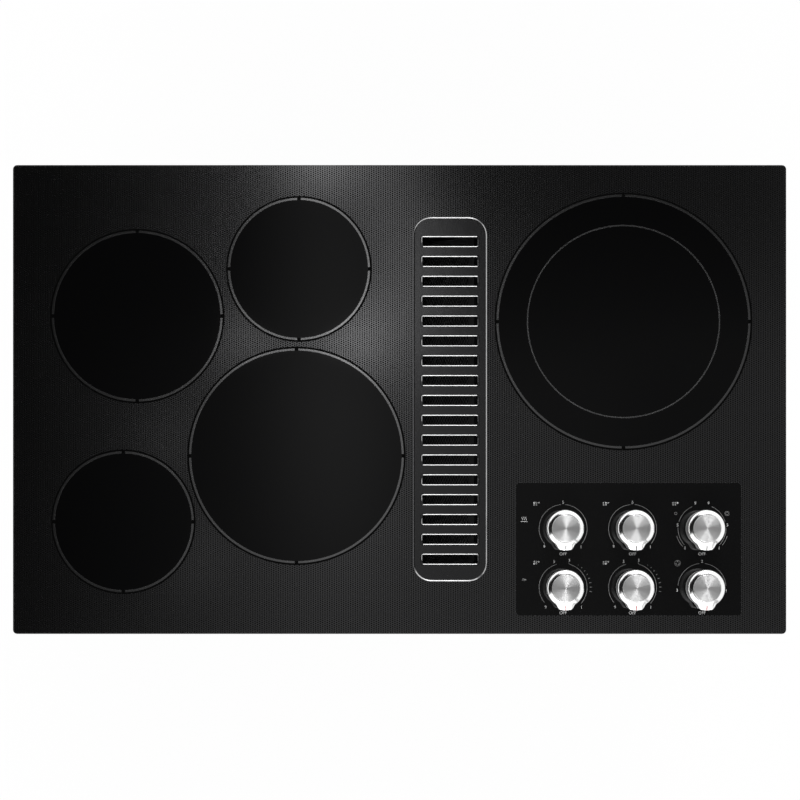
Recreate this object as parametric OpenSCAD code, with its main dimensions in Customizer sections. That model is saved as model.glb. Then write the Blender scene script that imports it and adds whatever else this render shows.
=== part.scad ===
// Downdraft cooktop with five radiant elements under a ceramic glass top.
// The origin is at the middle of the glass, on the plane of the counter's top.
// X runs to the right, Y to the rear and Z up. The knobs are at the front right.

/* [Glass top] */
// Width of the glass, left to right
glass_w = 922; // [900:1:1120]
// Depth of the glass, front to back
glass_d = 559; // [545:1:680]
// Thickness of the ceramic glass
glass_t = 4; // [3:0.5:6]
// Radius of the glass corners
glass_corner_r = 5; // [2:1:20]
// Radius of the hole for each knob shaft
shaft_hole_r = 7; // [6:0.5:9]

/* [Gasket and burner box] */
// Thickness of the foam gasket between glass and counter
gasket_t = 3; // [2:0.5:5]
// Width of the gasket strip
gasket_w = 12; // [8:1:16]
// Distance from the glass edge to the gasket
gasket_inset = 4; // [2:1:8]
// How far the glass overhangs the burner box at each end
overhang_side = 37; // [33:1:45]
// How far the glass overhangs the burner box at front and back
overhang_front = 27; // [26:1:35]
// Depth of the burner box below the counter top
box_h = 80; // [76:1:110]
// Thickness of the sheet steel
sheet_t = 1; // [0.8:0.1:1.5]
// Height of the frame's upright leg
frame_leg = 15; // [12:1:20]

/* [Cooking zones] */
// Left rear zone: centre across, centre front to back, ring radius
zone_left_rear = [-313, 99.5, 100.6]; // [-460:0.1:460]
// Centre rear zone
zone_centre_rear = [-120, 155.7, 83.5]; // [-460:0.1:460]
// Right zone, which has two rings
zone_right = [267, 93, 150.2]; // [-460:0.1:460]
// Left front zone
zone_left_front = [-329.5, -145.8, 82.8]; // [-460:0.1:460]
// Centre front zone
zone_centre_front = [-123, -67.2, 126.8]; // [-460:0.1:460]
// Radius of the inner ring of the right zone
dual_ring_r = 114.5; // [90:0.5:120]

/* [Radiant elements] */
// How far an element's pan reaches past its ring
pan_margin = 3; // [1:0.5:4]
// Depth of the element pans
pan_h = 28; // [26:1:32]
// Thickness of the pan steel
pan_t = 0.8; // [0.6:0.1:1.2]
// Gap between the pan's edge and the glass
pan_drop = 4; // [2:0.5:6]
// Thickness of the insulation under the coil
insulation_base = 14; // [10:1:16]
// Thickness of the insulation ring round the coil
insulation_wall = 12; // [8:1:16]
// Height of the heating ribbon
ribbon_h = 5; // [4:0.5:6]
// Thickness of the heating ribbon
ribbon_t = 0.8; // [0.6:0.1:1.2]
// Spacing of the ribbon's turns
ribbon_pitch = 13; // [11:0.5:18]
// Radius of the temperature limiter's rod
limiter_r = 2.2; // [1.5:0.1:2.5]
// Length of the limiter's end block, along the rod
limiter_block_l = 20; // [16:1:24]
// Width of the limiter's end block
limiter_block_w = 26; // [20:1:30]
// Height of the limiter's end block
limiter_block_h = 20; // [14:1:21]

/* [Rails and springs] */
// Width of the rails
rail_w = 36; // [24:1:44]
// Width of a rail's foot on each side
rail_foot = 9; // [6:1:12]
// Height of the bowed leaf springs between rails and elements
spring_rise = 19; // [14:1:24]
// Length of the leaf springs over their chord
spring_chord = 60; // [50:1:70]
// Width of the leaf springs
spring_w = 14; // [10:1:20]
// Thickness of the leaf springs
spring_t = 0.8; // [0.5:0.1:1.2]

/* [Downdraft grille and filter] */
// Distance of the grille's middle from the middle of the glass
vent_x = 60; // [56:0.5:60]
// Width of the grille
grille_w = 88.5; // [87:0.5:90]
// Length of the grille, front to back
grille_l = 434; // [434:1:440]
// Thickness of the grille's plate
grille_t = 4; // [3:0.5:6]
// Radius of the grille's corners
grille_corner_r = 22; // [12:1:30]
// Number of slots in the grille
slot_count = 17; // [12:1:17]
// Spacing of the slots
slot_pitch = 23.7; // [20:0.1:23.9]
// Length of each slot, left to right
slot_l = 65.6; // [50:0.1:66]
// Width of each slot
slot_w = 9.5; // [6:0.5:12]
// Width of the opening in the glass under the grille
vent_cut_w = 76; // [74:1:78]
// Length of the opening in the glass under the grille
vent_cut_l = 422; // [420:1:426]
// Depth of the lip that centres the grille in the opening
lip_depth = 12; // [8:1:15]
// Width of the filter across its short side
filter_w = 85; // [70:1:85]
// Length of the filter
filter_l = 400; // [300:1:408]
// Thickness of the filter
filter_t = 9; // [7:0.5:10]
// Tilt of the filter from level
filter_tilt = 40; // [40:1:50]
// Width of the filter's metal frame
filter_rim = 8; // [5:1:10]

/* [Air chamber and drain] */
// Depth of the air chamber below the counter top
chamber_depth = 320; // [300:1:340]
// Length of the chamber's lower part
chamber_low_l = 300; // [270:1:340]
// Width of the flange that joins the chamber to the burner box
chamber_flange = 12; // [10:1:14]
// Distance of the drain from the middle, towards the rear
drain_y = 75; // [62:1:85]
// Outer radius of the threaded drain neck
neck_r = 24; // [20:0.5:26]
// Height of the drain neck
neck_h = 14; // [10:1:18]
// Wall thickness of the drain neck
neck_wall = 3; // [2:0.5:4]
// Outer radius of the drain cup
cup_r = 34; // [32:0.5:36]
// Height of the drain cup
cup_h = 66; // [50:1:80]
// Wall thickness of the drain cup
cup_t = 3; // [2:0.5:4]

/* [Blower] */
// Depth of the blower's axis below the counter top
blower_z = 215; // [205:1:220]
// Radius of the blower wheel
wheel_r = 75; // [60:1:75]
// Radius of the air inlet between the chamber and the blower
inlet_r = 61; // [50:1:61]
// Width of the blower housing
scroll_w = 96; // [90:1:110]
// Radius of the housing at its tongue
scroll_r_min = 83; // [83:1:88]
// Radius of the housing at its outlet side
scroll_r_max = 120; // [115:1:125]
// Number of blades on the wheel
blade_count = 32; // [24:1:40]
// Length of each blade from front edge to back edge
blade_chord = 13; // [10:1:14]
// Radius of the motor's shaft
motor_shaft_r = 5; // [4:0.5:6]
// Radius of the motor
motor_r = 44; // [40:1:48]
// Length of the motor
motor_l = 84; // [76:1:100]
// Inner radius of the duct that slips over the collar
duct_r = 76; // [76:0.5:80]
// Length of the duct collar
collar_l = 40; // [30:1:60]

/* [Knobs and controls] */
// Distance of the first column of knobs from the middle
knob_x = 195; // [190:0.5:198]
// Spacing of the knob columns
knob_pitch_x = 82.8; // [78:0.1:86]
// Distance of the rear row of knobs in front of the middle
knob_y = 153.8; // [148:0.1:158]
// Spacing of the knob rows
knob_pitch_y = 70.3; // [66:0.1:71]
// Radius of the knob at its widest
knob_r = 22; // [20:0.5:23]
// Radius of the knob's foot
knob_foot_r = 20.5; // [18:0.5:22]
// Height of the knob
knob_h = 25; // [22:0.5:30]
// Radius of the turned disc in the knob's top
knob_disc_r = 16.3; // [14:0.1:17]
// How far the pointer reaches from the knob's middle
pointer_reach = 26.3; // [24:0.1:28]
// Width of the pointer
pointer_w = 19.5; // [14:0.5:22]
// How far an element knob is pushed in before it turns
push_travel = 3; // [2:0.1:4]
// Radius of the control shafts
shaft_r = 3; // [3:0.1:3.2]
// Length of a switch case, left to right
switch_l = 46; // [40:1:50]
// Width of a switch case, front to back
switch_w = 38; // [34:1:42]
// Height of a switch case
switch_h = 32; // [32:1:36]
// Radius of the cam inside each switch
cam_r = 14; // [10:0.5:15]
// Length and width of the fan control's case
fan_case = 34; // [30:1:40]
// Height of the fan control's case
fan_case_h = 24; // [20:1:28]

/* [Terminal box] */
// Middle of the terminal box, left to right
term_x = 350; // [340:1:360]
// Middle of the terminal box, front to back
term_y = 190; // [180:1:195]
// Length of the terminal box, left to right
term_l = 100; // [90:1:110]
// Width of the terminal box, front to back
term_w = 80; // [70:1:90]
// Height of the terminal box
term_h = 50; // [40:1:60]
// Radius of the conduit knockout
knockout_r = 11.1; // [8:0.1:14]

/* [Counter clamps] */
// Thickness of the counter that the clamps are set for
counter_t = 38; // [32:1:44]
// Width of a clamp bracket
clamp_w = 60; // [40:1:80]
// Reach of a clamp bracket from the burner box
clamp_reach = 34; // [30:1:36]
// Thickness of the clamp brackets
clamp_t = 2; // [1.5:0.5:3]
// Radius of the clamp screws
clamp_screw_r = 3; // [2.5:0.5:4]

/* [Hidden] */
$fn = 72;
// Gap between pieces that lie loosely on or beside each other
gap = 0.3;
// Radial clearance of a shaft in its bearing
run_gap = 0.06;
// Radial clearance of the drain cup's thread
thread_gap = 0.4;

// Levels, upwards from the counter top
glass_z0 = gasket_t;
glass_z1 = gasket_t + glass_t;
floor_z0 = -box_h;
floor_z1 = sheet_t - box_h;
pan_z0 = glass_z0 - pan_drop - pan_h;
base_z1 = pan_z0 + pan_t + insulation_base;
rod_drop = 2.3;
rod_z = glass_z0 - pan_drop - limiter_r - rod_drop;
block_top_z = rod_z + 3;
rail_z1 = pan_z0 - spring_rise;
rail_h = rail_z1 - floor_z1;
plate_t = 1.2;
plate_drop = 9;
plate_z1 = glass_z0 - plate_drop;
plate_z0 = plate_z1 - plate_t;
grille_z0 = glass_z1 + gap;
grille_z1 = grille_z0 + grille_t;
knob_z0 = glass_z1 + push_travel + gap;
counter_z0 = -counter_t;

// Burner box, outside
box_w = glass_w - 2 * overhang_side;
box_d = glass_d - 2 * overhang_front;

// Cooking zones, and where each element's limiter block points
zone_names = ["left_rear", "centre_rear", "right", "left_front", "centre_front"];
zones = [zone_left_rear, zone_centre_rear, zone_right, zone_left_front, zone_centre_front];
block_angles = [135, 0, -135, -45, -60];
rail_xs = [(zone_left_rear.x + zone_left_front.x) / 2,
           (zone_centre_rear.x + zone_centre_front.x) / 2, zone_right.x];
zone_rails = [rail_xs[0], rail_xs[1], rail_xs[2], rail_xs[0], rail_xs[1]];

// Knobs: two rows of three, named for what they control
dial_names = ["left_rear", "centre_rear", "right", "left_front", "centre_front", "fan"];
dials = [for (row = [0, 1]) for (column = [0 : 2])
    [knob_x + column * knob_pitch_x, -knob_y - row * knob_pitch_y]];
switch_z0 = plate_z0 - switch_h;
fan_z0 = plate_z0 - fan_case_h;
fan_seat = 4;
neck_bush_r = 5;
neck_bush_drop = 3.5;
cam_h = 6;
cam_hub_h = 2;
cam_z0 = switch_z0 + 11;
journal_r = 6;
shaft_z0 = switch_z0 + 8;
shaft_flat = 0.74 * shaft_r;
tab_h = 8;

// Air chamber, outside, and the blower beside its left wall
chamber_w = vent_cut_w;
chamber_x0 = vent_x - chamber_w / 2;
chamber_x1 = vent_x + chamber_w / 2;
chamber_l = vent_cut_l;
scroll_x1 = chamber_x0;
scroll_x0 = scroll_x1 - scroll_w;
scroll_start = 250;
scroll_turn = 290;
throat_y0 = -scroll_r_max;
throat_y1 = scroll_r_min * cos(scroll_start);
throat_y = (throat_y0 + throat_y1) / 2;
outlet_drop = 125;
outlet_z = -blower_z - outlet_drop;
outlet_x = (scroll_x0 + scroll_x1) / 2;
outlet_flange = 2 * duct_r + 12;
wheel_x0 = scroll_x0 + 9;
wheel_x1 = scroll_x1 - 6;
motor_flange_r = 58;
motor_flange_t = 2;
motor_x1 = scroll_x0 - motor_flange_t;
motor_x0 = motor_x1 - motor_l;
rotor_r = 24;
capacitor_r = 16;
capacitor_l = 50;
capacitor_y = 62;
capacitor_up = 58;

// Filter's folded rim, and its middle, with its frame clear below the grille's lip
filter_fold = 0.9;
filter_z = glass_z1 - lip_depth - 5 - (filter_w * sin(filter_tilt) + filter_t * cos(filter_tilt)) / 2;
filter_low_z = filter_z - (filter_w * sin(filter_tilt) + filter_t * cos(filter_tilt)) / 2;
filter_high_x = (filter_w * cos(filter_tilt) + filter_t * sin(filter_tilt)) / 2;
filter_high_z = filter_z + (filter_w * sin(filter_tilt) - filter_t * cos(filter_tilt)) / 2;

// Wiring runs just above the burner box floor
wire_r = 3;
branch_r = 2;
wire_z = floor_z1 + wire_r + 2;
trunk_y = -box_d / 2 + sheet_t + 10;
side_x = box_w / 2 - sheet_t - 12;

// Switch bracket, and the front ends of the rails, clear of wires and bracket
bracket_x0 = knob_x - switch_l / 2 - 35;
bracket_x1 = knob_x + 2 * knob_pitch_x + switch_l / 2 + 16;
bracket_y0 = -knob_y - knob_pitch_y - switch_w / 2 - 2;
bracket_y1 = -knob_y + switch_w / 2 + 14;
cheek_y0 = trunk_y + wire_r + 5;
rail_y0s = [trunk_y + wire_r + 6, trunk_y + wire_r + 6, bracket_y1 + 6];

// Indicator lamps, left of the knobs
lamp_x = 148.5;
lamp_ys = [-132, -205];
lamp_r = 3;

// Terminal box details
wire_hole_r = 8;
wire_hole_x = term_x - term_l / 2 + 14;
knockout_x = term_x - term_l / 2 + knockout_r + 4;
term_z0 = floor_z0 - term_h;
cover_lip = 8;
block_l = 56;
block_x0 = term_x - term_l / 2 + 34;

// Counter clamps
clamp_drop = 36;
clamp_z0 = counter_z0 - clamp_drop;
clamp_boss_h = 8;
clamp_h = 52;
clamp_screw_up = 34;
clamp_screw_in = 12;
clamp_screw_x = box_w / 2 + clamp_reach - clamp_screw_in;

// Sheet screws
screw_r = 1.9;
screw_hole_r = 2.05;
screw_head_r = 4;
screw_head_h = 2.2;
screw_l = 6;

// Helpers

// Points of a rectangle w by d with its corners rounded to radius r
function rounded(w, d, r, steps = 6) = [
    for (corner = [0 : 3]) for (i = [0 : steps])
        let (a = corner * 90 + i * 90 / steps,
             sx = (corner == 0 || corner == 3) ? 1 : -1,
             sy = corner < 2 ? 1 : -1)
        [sx * (w / 2 - r) + r * cos(a), sy * (d / 2 - r) + r * sin(a)]];

// Spiral outline of the blower housing, grown outwards by skin, open end down at drop
function scroll_points(skin, drop) = concat(
    [for (a = [scroll_start : 10 : scroll_start + scroll_turn])
        let (r = skin + scroll_r_min
                 + (scroll_r_max - scroll_r_min) * (a - scroll_start) / scroll_turn)
        [r * cos(a), r * sin(a)]],
    [[throat_y0 - skin, -drop], [throat_y1 + skin, -drop]]);

module plate(points, z0, z1) {
    translate([0, 0, z0]) linear_extrude(z1 - z0) polygon(points);
}

module ring_plate(outer, inner, z0, z1) {
    translate([0, 0, z0]) linear_extrude(z1 - z0) difference() {
        polygon(outer);
        polygon(inner);
    }
}

module rod(r, z0, z1) {
    translate([0, 0, z0]) cylinder(r = r, h = z1 - z0);
}

module tube(r_out, r_in, z0, z1) {
    difference() {
        rod(r_out, z0, z1);
        rod(r_in, z0 - 1, z1 + 1);
    }
}

// A shape drawn in the Y-Z plane and given a thickness along X
module along_x(x0, x1) {
    translate([x0, 0, 0]) rotate([90, 0, 90]) linear_extrude(x1 - x0) children();
}

// A round bar along X at a depth below the counter top
module bar_x(r, x0, x1, y = 0, z = -blower_z) {
    translate([x0, y, z]) rotate([0, 90, 0]) cylinder(r = r, h = x1 - x0);
}

// Glass and its seals

module vent_cut(z0, z1) {
    translate([vent_x, 0, 0]) plate(rounded(vent_cut_w, vent_cut_l, 6), z0, z1);
}

module glass_top() {
    color([0.03, 0.03, 0.035]) difference() {
        plate(rounded(glass_w, glass_d, glass_corner_r), glass_z0, glass_z1);
        vent_cut(glass_z0 - 1, glass_z1 + 1);
        for (d = dials) translate(d) rod(shaft_hole_r, glass_z0 - 1, glass_z1 + 1);
    }
}

module glass_frame() {
    leg_w = box_w - 2 * (sheet_t + gap);
    leg_d = box_d - 2 * (sheet_t + gap);
    corner = 3;
    flange_inset = 2 * (gasket_inset + gasket_w + gap);
    inner = rounded(leg_w - 2 * sheet_t, leg_d - 2 * sheet_t, corner - sheet_t);
    color("silver") difference() {
        union() {
            ring_plate(rounded(glass_w - flange_inset, glass_d - flange_inset, corner),
                       inner, glass_z0 - sheet_t, glass_z0);
            ring_plate(rounded(leg_w, leg_d, corner), inner,
                       glass_z0 - frame_leg, glass_z0 - sheet_t / 2);
        }
        side_screws() screw_hole();
    }
}

module counter_gasket() {
    w = glass_w - 2 * gasket_inset;
    d = glass_d - 2 * gasket_inset;
    corner = 3;
    color([0.15, 0.15, 0.15])
        ring_plate(rounded(w, d, corner), rounded(w - 2 * gasket_w, d - 2 * gasket_w, corner),
                   0, gasket_t);
}

module knob_grommets() {
    lip_r = shaft_hole_r + 2.5;
    bore_r = shaft_r + gap;
    color([0.1, 0.1, 0.1]) for (d = dials) translate(d) difference() {
        union() {
            rod(shaft_hole_r - 0.1, glass_z0 - 2, glass_z1);
            rod(lip_r, glass_z0 - 2, glass_z0);
        }
        rod(bore_r, glass_z0 - 3, glass_z1 + 1);
    }
}

// Knobs, shafts and switches

// Half outline of the knob, turned round its axis: foot, side, rounded shoulder and disc
module knob_profile() {
    rim = 1.5;
    wall = 2;
    polygon([[0, knob_h * 0.62], [6, knob_h * 0.62], [knob_foot_r - wall, knob_h * 0.62],
             [knob_foot_r - wall, 0], [knob_foot_r, 0], [knob_foot_r, 1.5],
             [knob_foot_r - 0.7, 2.2], [knob_foot_r + 0.3, 4], [knob_r, knob_h - rim - 3.2],
             [knob_r - 0.3, knob_h - rim - 2.4], [knob_r - 1.2, knob_h - rim - 1.7],
             [knob_disc_r + 0.7, knob_h - rim], [knob_disc_r, knob_h - rim],
             [knob_disc_r, knob_h - 0.6], [knob_disc_r - 0.5, knob_h], [0, knob_h]]);
}

module knob(d) {
    hub_r = 6;
    hub_z0 = 2;
    shoulder = pointer_w / 2 + 4;
    color([0.75, 0.75, 0.76]) translate([d.x, d.y, knob_z0]) difference() {
        union() {
            rotate_extrude() knob_profile();
            rod(hub_r, hub_z0, knob_h * 0.7);
            difference() {
                translate([0, 0, 3]) linear_extrude(knob_h - 6)
                    polygon([[-shoulder, -knob_r * 0.7], [-pointer_w / 2, -pointer_reach + 3],
                             [-pointer_w / 2 + 2, -pointer_reach], [pointer_w / 2 - 2, -pointer_reach],
                             [pointer_w / 2, -pointer_reach + 3], [shoulder, -knob_r * 0.7]]);
                rod(knob_foot_r - 1, 0, knob_h);
            }
        }
        translate([0, 0, -knob_z0]) shaft_bar(shaft_r + 0.05, 0, knob_z0 + knob_h * 0.6);
    }
}

// A round bar with a flat along one side
module shaft_bar(r, z0, z1) {
    difference() {
        rod(r, z0, z1);
        translate([shaft_flat + r - shaft_r, -r, z0 - 1]) cube([r, 2 * r, z1 - z0 + 2]);
    }
}

module shaft(d, z0 = shaft_z0) {
    color("silver") translate(d) shaft_bar(shaft_r, z0, knob_z0 + knob_h * 0.6 - gap);
}

module cam(d) {
    hub_r = 8;
    journal_h = 6;
    notch_depth = 1.5;
    notch_w = 4;
    color("ivory") translate(d) difference() {
        union() {
            rod(cam_r, cam_z0, cam_z0 + cam_h);
            rod(hub_r, cam_z0 + cam_h - 0.5, cam_z0 + cam_h + cam_hub_h);
            rod(journal_r, cam_z0 - journal_h, cam_z0 + 0.5);
        }
        shaft_bar(shaft_r + run_gap, cam_z0 - journal_h - 1, cam_z0 + cam_h + cam_hub_h + 1);
        translate([cam_r - notch_depth, -notch_w / 2, cam_z0 - 1])
            cube([2 * notch_depth, notch_w, cam_h + 2]);
    }
}

// Four blade terminals under a case
module terminals(l, w, z) {
    blade = [0.8, 6.3, tab_h];
    for (sx = [-1, 1]) for (sy = [-1, 1])
        translate([sx * l / 3 - blade.x / 2, sy * w / 4 - blade.y / 2, z - tab_h]) cube(blade);
}

module infinite_switches() {
    cam_room = 1;
    journal_room = 7;
    color([0.85, 0.82, 0.75]) for (i = [0 : 4]) translate(dials[i]) {
        difference() {
            union() {
                translate([-switch_l / 2, -switch_w / 2, switch_z0])
                    cube([switch_l, switch_w, switch_h]);
                rod(neck_bush_r, plate_z0 - 0.5, glass_z0 - neck_bush_drop);
            }
            rod(cam_r + cam_room, cam_z0 - gap, cam_z0 + cam_h + cam_hub_h + gap);
            rod(journal_r + run_gap, cam_z0 - journal_room, cam_z0);
            rod(shaft_r + gap, cam_z0, glass_z0);
        }
        terminals(switch_l, switch_w, switch_z0);
    }
}

module fan_control() {
    color([0.12, 0.2, 0.35]) translate(dials[5]) {
        difference() {
            union() {
                translate([-fan_case / 2, -fan_case / 2, fan_z0])
                    cube([fan_case, fan_case, fan_case_h]);
                rod(neck_bush_r, plate_z0 - 0.5, glass_z0 - neck_bush_drop);
            }
            rod(shaft_r + run_gap, fan_z0 + fan_seat, glass_z0);
        }
        terminals(fan_case, fan_case, fan_z0);
    }
}

module switch_nuts() {
    nut_r = 8;
    nut_h = 3.5;
    color("goldenrod") for (d = dials) translate([d.x, d.y, plate_z1]) difference() {
        cylinder(r = nut_r, h = nut_h, $fn = 6);
        rod(neck_bush_r + 0.1, -1, nut_h + 1);
    }
}

module indicator_lamps() {
    color("darkred") for (y = lamp_ys) translate([lamp_x, y, 0]) {
        rod(lamp_r, plate_z1, glass_z0 - gap);
        rod(lamp_r + 2, plate_z1, plate_z1 + 2);
    }
}

module switch_bracket() {
    foot = 14;
    color("silver") difference() {
        union() {
            translate([bracket_x0, bracket_y0, plate_z0])
                cube([bracket_x1 - bracket_x0, bracket_y1 - bracket_y0, plate_t]);
            for (x = [bracket_x0, bracket_x1 - plate_t])
                translate([x, cheek_y0, floor_z1])
                    cube([plate_t, bracket_y1 - cheek_y0, plate_z0 + plate_t / 2 - floor_z1]);
            for (x = [bracket_x0, bracket_x1 - foot])
                translate([x, cheek_y0, floor_z1]) cube([foot, bracket_y1 - cheek_y0, plate_t]);
        }
        for (d = dials) translate(d) rod(neck_bush_r + 0.2, plate_z0 - 1, plate_z1 + 1);
    }
}

// Radiant elements

// Places its child at a zone, turned so that +X points along the limiter's rod to its block
module at_zone(i) {
    translate([zones[i].x, zones[i].y, 0]) rotate(block_angles[i]) children();
}

module limiter_rod(i, r) {
    inner_end = zones[i][2] * 0.45;
    translate([-inner_end, 0, rod_z]) rotate([0, 90, 0])
        cylinder(r = r, h = inner_end + zones[i][2] + pan_margin + 2);
}

module element_pan(i) {
    r = zones[i][2] + pan_margin;
    color("lightgray") at_zone(i) difference() {
        rod(r, pan_z0, pan_z0 + pan_h);
        rod(r - pan_t, pan_z0 + pan_t, pan_z0 + pan_h + 1);
        limiter_rod(i, limiter_r + 0.6);
    }
}

module element_insulation(i) {
    r = zones[i][2] + pan_margin - pan_t - 0.2;
    divider = 7;
    color("ivory") at_zone(i) difference() {
        rod(r, pan_z0 + pan_t, glass_z0);
        difference() {
            rod(r - insulation_wall, base_z1, glass_z0 + 1);
            if (zone_names[i] == "right")
                tube(dual_ring_r + divider / 2, dual_ring_r - divider / 2, base_z1 - 1, glass_z0 + 2);
        }
        limiter_rod(i, limiter_r + 0.4);
    }
}

// One winding: rings cut open along a straight gap, joined by links at one side of it, then the other
module winding(r0, r1) {
    half_gap = 5;
    side = half_gap - ribbon_t / 2;
    turns = floor((r1 - r0) / ribbon_pitch);
    translate([0, 0, base_z1]) linear_extrude(ribbon_h) {
        difference() {
            for (k = [0 : turns]) difference() {
                circle(r0 + k * ribbon_pitch + ribbon_t);
                circle(r0 + k * ribbon_pitch);
            }
            translate([0, -side]) square([r1 + ribbon_pitch, 2 * side]);
        }
        for (k = [0 : turns - 1]) {
            x0 = gap_x(r0 + k * ribbon_pitch, half_gap);
            x1 = gap_x(r0 + (k + 1) * ribbon_pitch, half_gap) + ribbon_t / 2;
            translate([x0, k % 2 == 0 ? side : -side - ribbon_t]) square([x1 - x0, ribbon_t]);
        }
    }
}

// Where a ring of radius r meets the line at a distance from the middle
function gap_x(r, distance) = sqrt(r * r - distance * distance);

module element_coils() {
    first = 16;
    margin = pan_margin - pan_t - insulation_wall - 5;
    color("saddlebrown") for (i = [0 : 4]) at_zone(i) {
        if (zone_names[i] == "right") {
            winding(first, dual_ring_r - 8);
            winding(dual_ring_r + 8, zones[i][2] + margin);
        } else winding(first, zones[i][2] + margin);
    }
}

module limiter_block(i) {
    translate([zones[i][2] + pan_margin + gap, -limiter_block_w / 2, block_top_z - limiter_block_h])
        cube([limiter_block_l, limiter_block_w, limiter_block_h]);
}

module element_limiters() {
    color("white") for (i = [0 : 4]) at_zone(i) {
        limiter_rod(i, limiter_r);
        limiter_block(i);
    }
}

// Bowed leaf spring between a rail and a pan, standing on its two ends
module leaf_spring() {
    half = spring_chord / 2;
    r = (half * half + spring_rise * spring_rise) / (2 * spring_rise);
    a = acos((r - spring_rise) / (r - spring_t));
    translate([-spring_w / 2, 0, pan_z0 - r]) rotate([90, 0, 90]) rotate(90 - a)
        rotate_extrude(angle = 2 * a) translate([r - spring_t, 0]) square([spring_t, spring_w]);
}

module element_springs() {
    color("steelblue") for (i = [0 : 4]) for (side = [-1, 1])
        translate([zone_rails[i], zones[i].y + side * zones[i][2] / 2, 0]) leaf_spring();
}

module element_rails() {
    y1 = box_d / 2 - sheet_t - 3;
    w = rail_w / 2;
    color("gainsboro") for (i = [0 : 2]) translate([rail_xs[i], y1, floor_z1]) rotate([90, 0, 0])
        linear_extrude(y1 - rail_y0s[i]) difference() {
            union() {
                translate([-w, 0]) square([rail_w, rail_h]);
                translate([-w - rail_foot, 0]) square([rail_w + 2 * rail_foot, sheet_t]);
            }
            translate([sheet_t - w, -1]) square([rail_w - 2 * sheet_t, rail_h + 1 - sheet_t]);
        }
}

// Burner box, wiring and terminal box

module burner_box() {
    corner = 4;
    cool_pitch = 40;
    cool_w = 6;
    cool_l = 20;
    cool_inset = 27.5;
    wall_z1 = glass_z0 - sheet_t - gap;
    color("gainsboro") difference() {
        plate(rounded(box_w, box_d, corner), floor_z0, wall_z1);
        plate(rounded(box_w - 2 * sheet_t, box_d - 2 * sheet_t, corner - sheet_t),
              floor_z1, wall_z1 + 1);
        translate([chamber_x0 - gap, -chamber_l / 2 - gap, floor_z0 - 1])
            cube([chamber_w + 2 * gap, chamber_l + 2 * gap, sheet_t + 2]);
        translate([wire_hole_x, term_y, 0]) rod(wire_hole_r, floor_z0 - 1, floor_z1 + 1);
        for (x = [-box_w / 2 + 30 : cool_pitch : -20]) for (s = [-1, 1])
            translate([x, s * (box_d / 2 - cool_inset) - cool_l / 2, floor_z0 - 1])
                cube([cool_w, cool_l, sheet_t + 2]);
        side_screws() screw_hole();
        clamp_bracket_screws() screw_hole();
        chamber_screws() screw_hole();
        terminal_screws() screw_hole();
    }
}

module terminal_box() {
    color("silver") difference() {
        translate([term_x - term_l / 2, term_y - term_w / 2, term_z0])
            cube([term_l, term_w, term_h]);
        translate([term_x - term_l / 2 + sheet_t, term_y - term_w / 2 + sheet_t, term_z0 - 1])
            cube([term_l - 2 * sheet_t, term_w - 2 * sheet_t, term_h + 1 - sheet_t]);
        translate([wire_hole_x, term_y, 0]) rod(wire_hole_r, floor_z0 - 2, floor_z0 + 1);
        translate([knockout_x, term_y + term_w / 2 + 1, term_z0 + term_h / 2]) rotate([90, 0, 0])
            cylinder(r = knockout_r, h = sheet_t + 2);
        terminal_screws() screw_hole();
        cover_screws() screw_hole();
    }
}

module terminal_cover() {
    inset = sheet_t + gap;
    lip_l = term_l - 2 * inset;
    color("silver") difference() {
        union() {
            translate([term_x - term_l / 2, term_y - term_w / 2, term_z0 - sheet_t])
                cube([term_l, term_w, sheet_t]);
            for (s = [-1, 1])
                translate([term_x, term_y + s * (term_w / 2 - inset - sheet_t / 2), term_z0 + cover_lip / 2])
                    cube([lip_l, sheet_t, cover_lip + sheet_t], center = true);
        }
        cover_screws() screw_hole();
    }
}

module terminal_block() {
    block_w = 26;
    block_h = 18;
    post_r = 3;
    post_h = 7;
    rib_t = 1.5;
    rib_h = 5;
    color([0.2, 0.2, 0.2]) translate([block_x0, term_y, floor_z0 - sheet_t - block_h]) {
        translate([0, -block_w / 2, 0]) cube([block_l, block_w, block_h]);
        for (i = [0 : 2]) translate([block_l * (i + 0.5) / 3, 0, 0]) rod(post_r, -post_h, 1);
        for (i = [0 : 3]) translate([(block_l - rib_t) * i / 3, -block_w / 2, -rib_h])
            cube([rib_t, block_w, rib_h + 1]);
    }
}

// A round wire bundle from one point to the next along X, Y or Z, taped over its bends
module wire_path(points, r) {
    tape_t = 0.5;
    for (i = [0 : len(points) - 2]) {
        a = points[i];
        v = points[i + 1] - a;
        l = norm(v);
        translate(a) rotate([0, acos(v.z / l), atan2(v.y, v.x)]) cylinder(r = r, h = l, $fn = 16);
        if (i > 0) translate(a) sphere(r = r + tape_t, $fn = 16);
    }
}

function block_centre(i) = let (r = zones[i][2] + pan_margin + gap + limiter_block_l / 2)
    [zones[i].x + r * cos(block_angles[i]), zones[i].y + r * sin(block_angles[i])];

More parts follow.
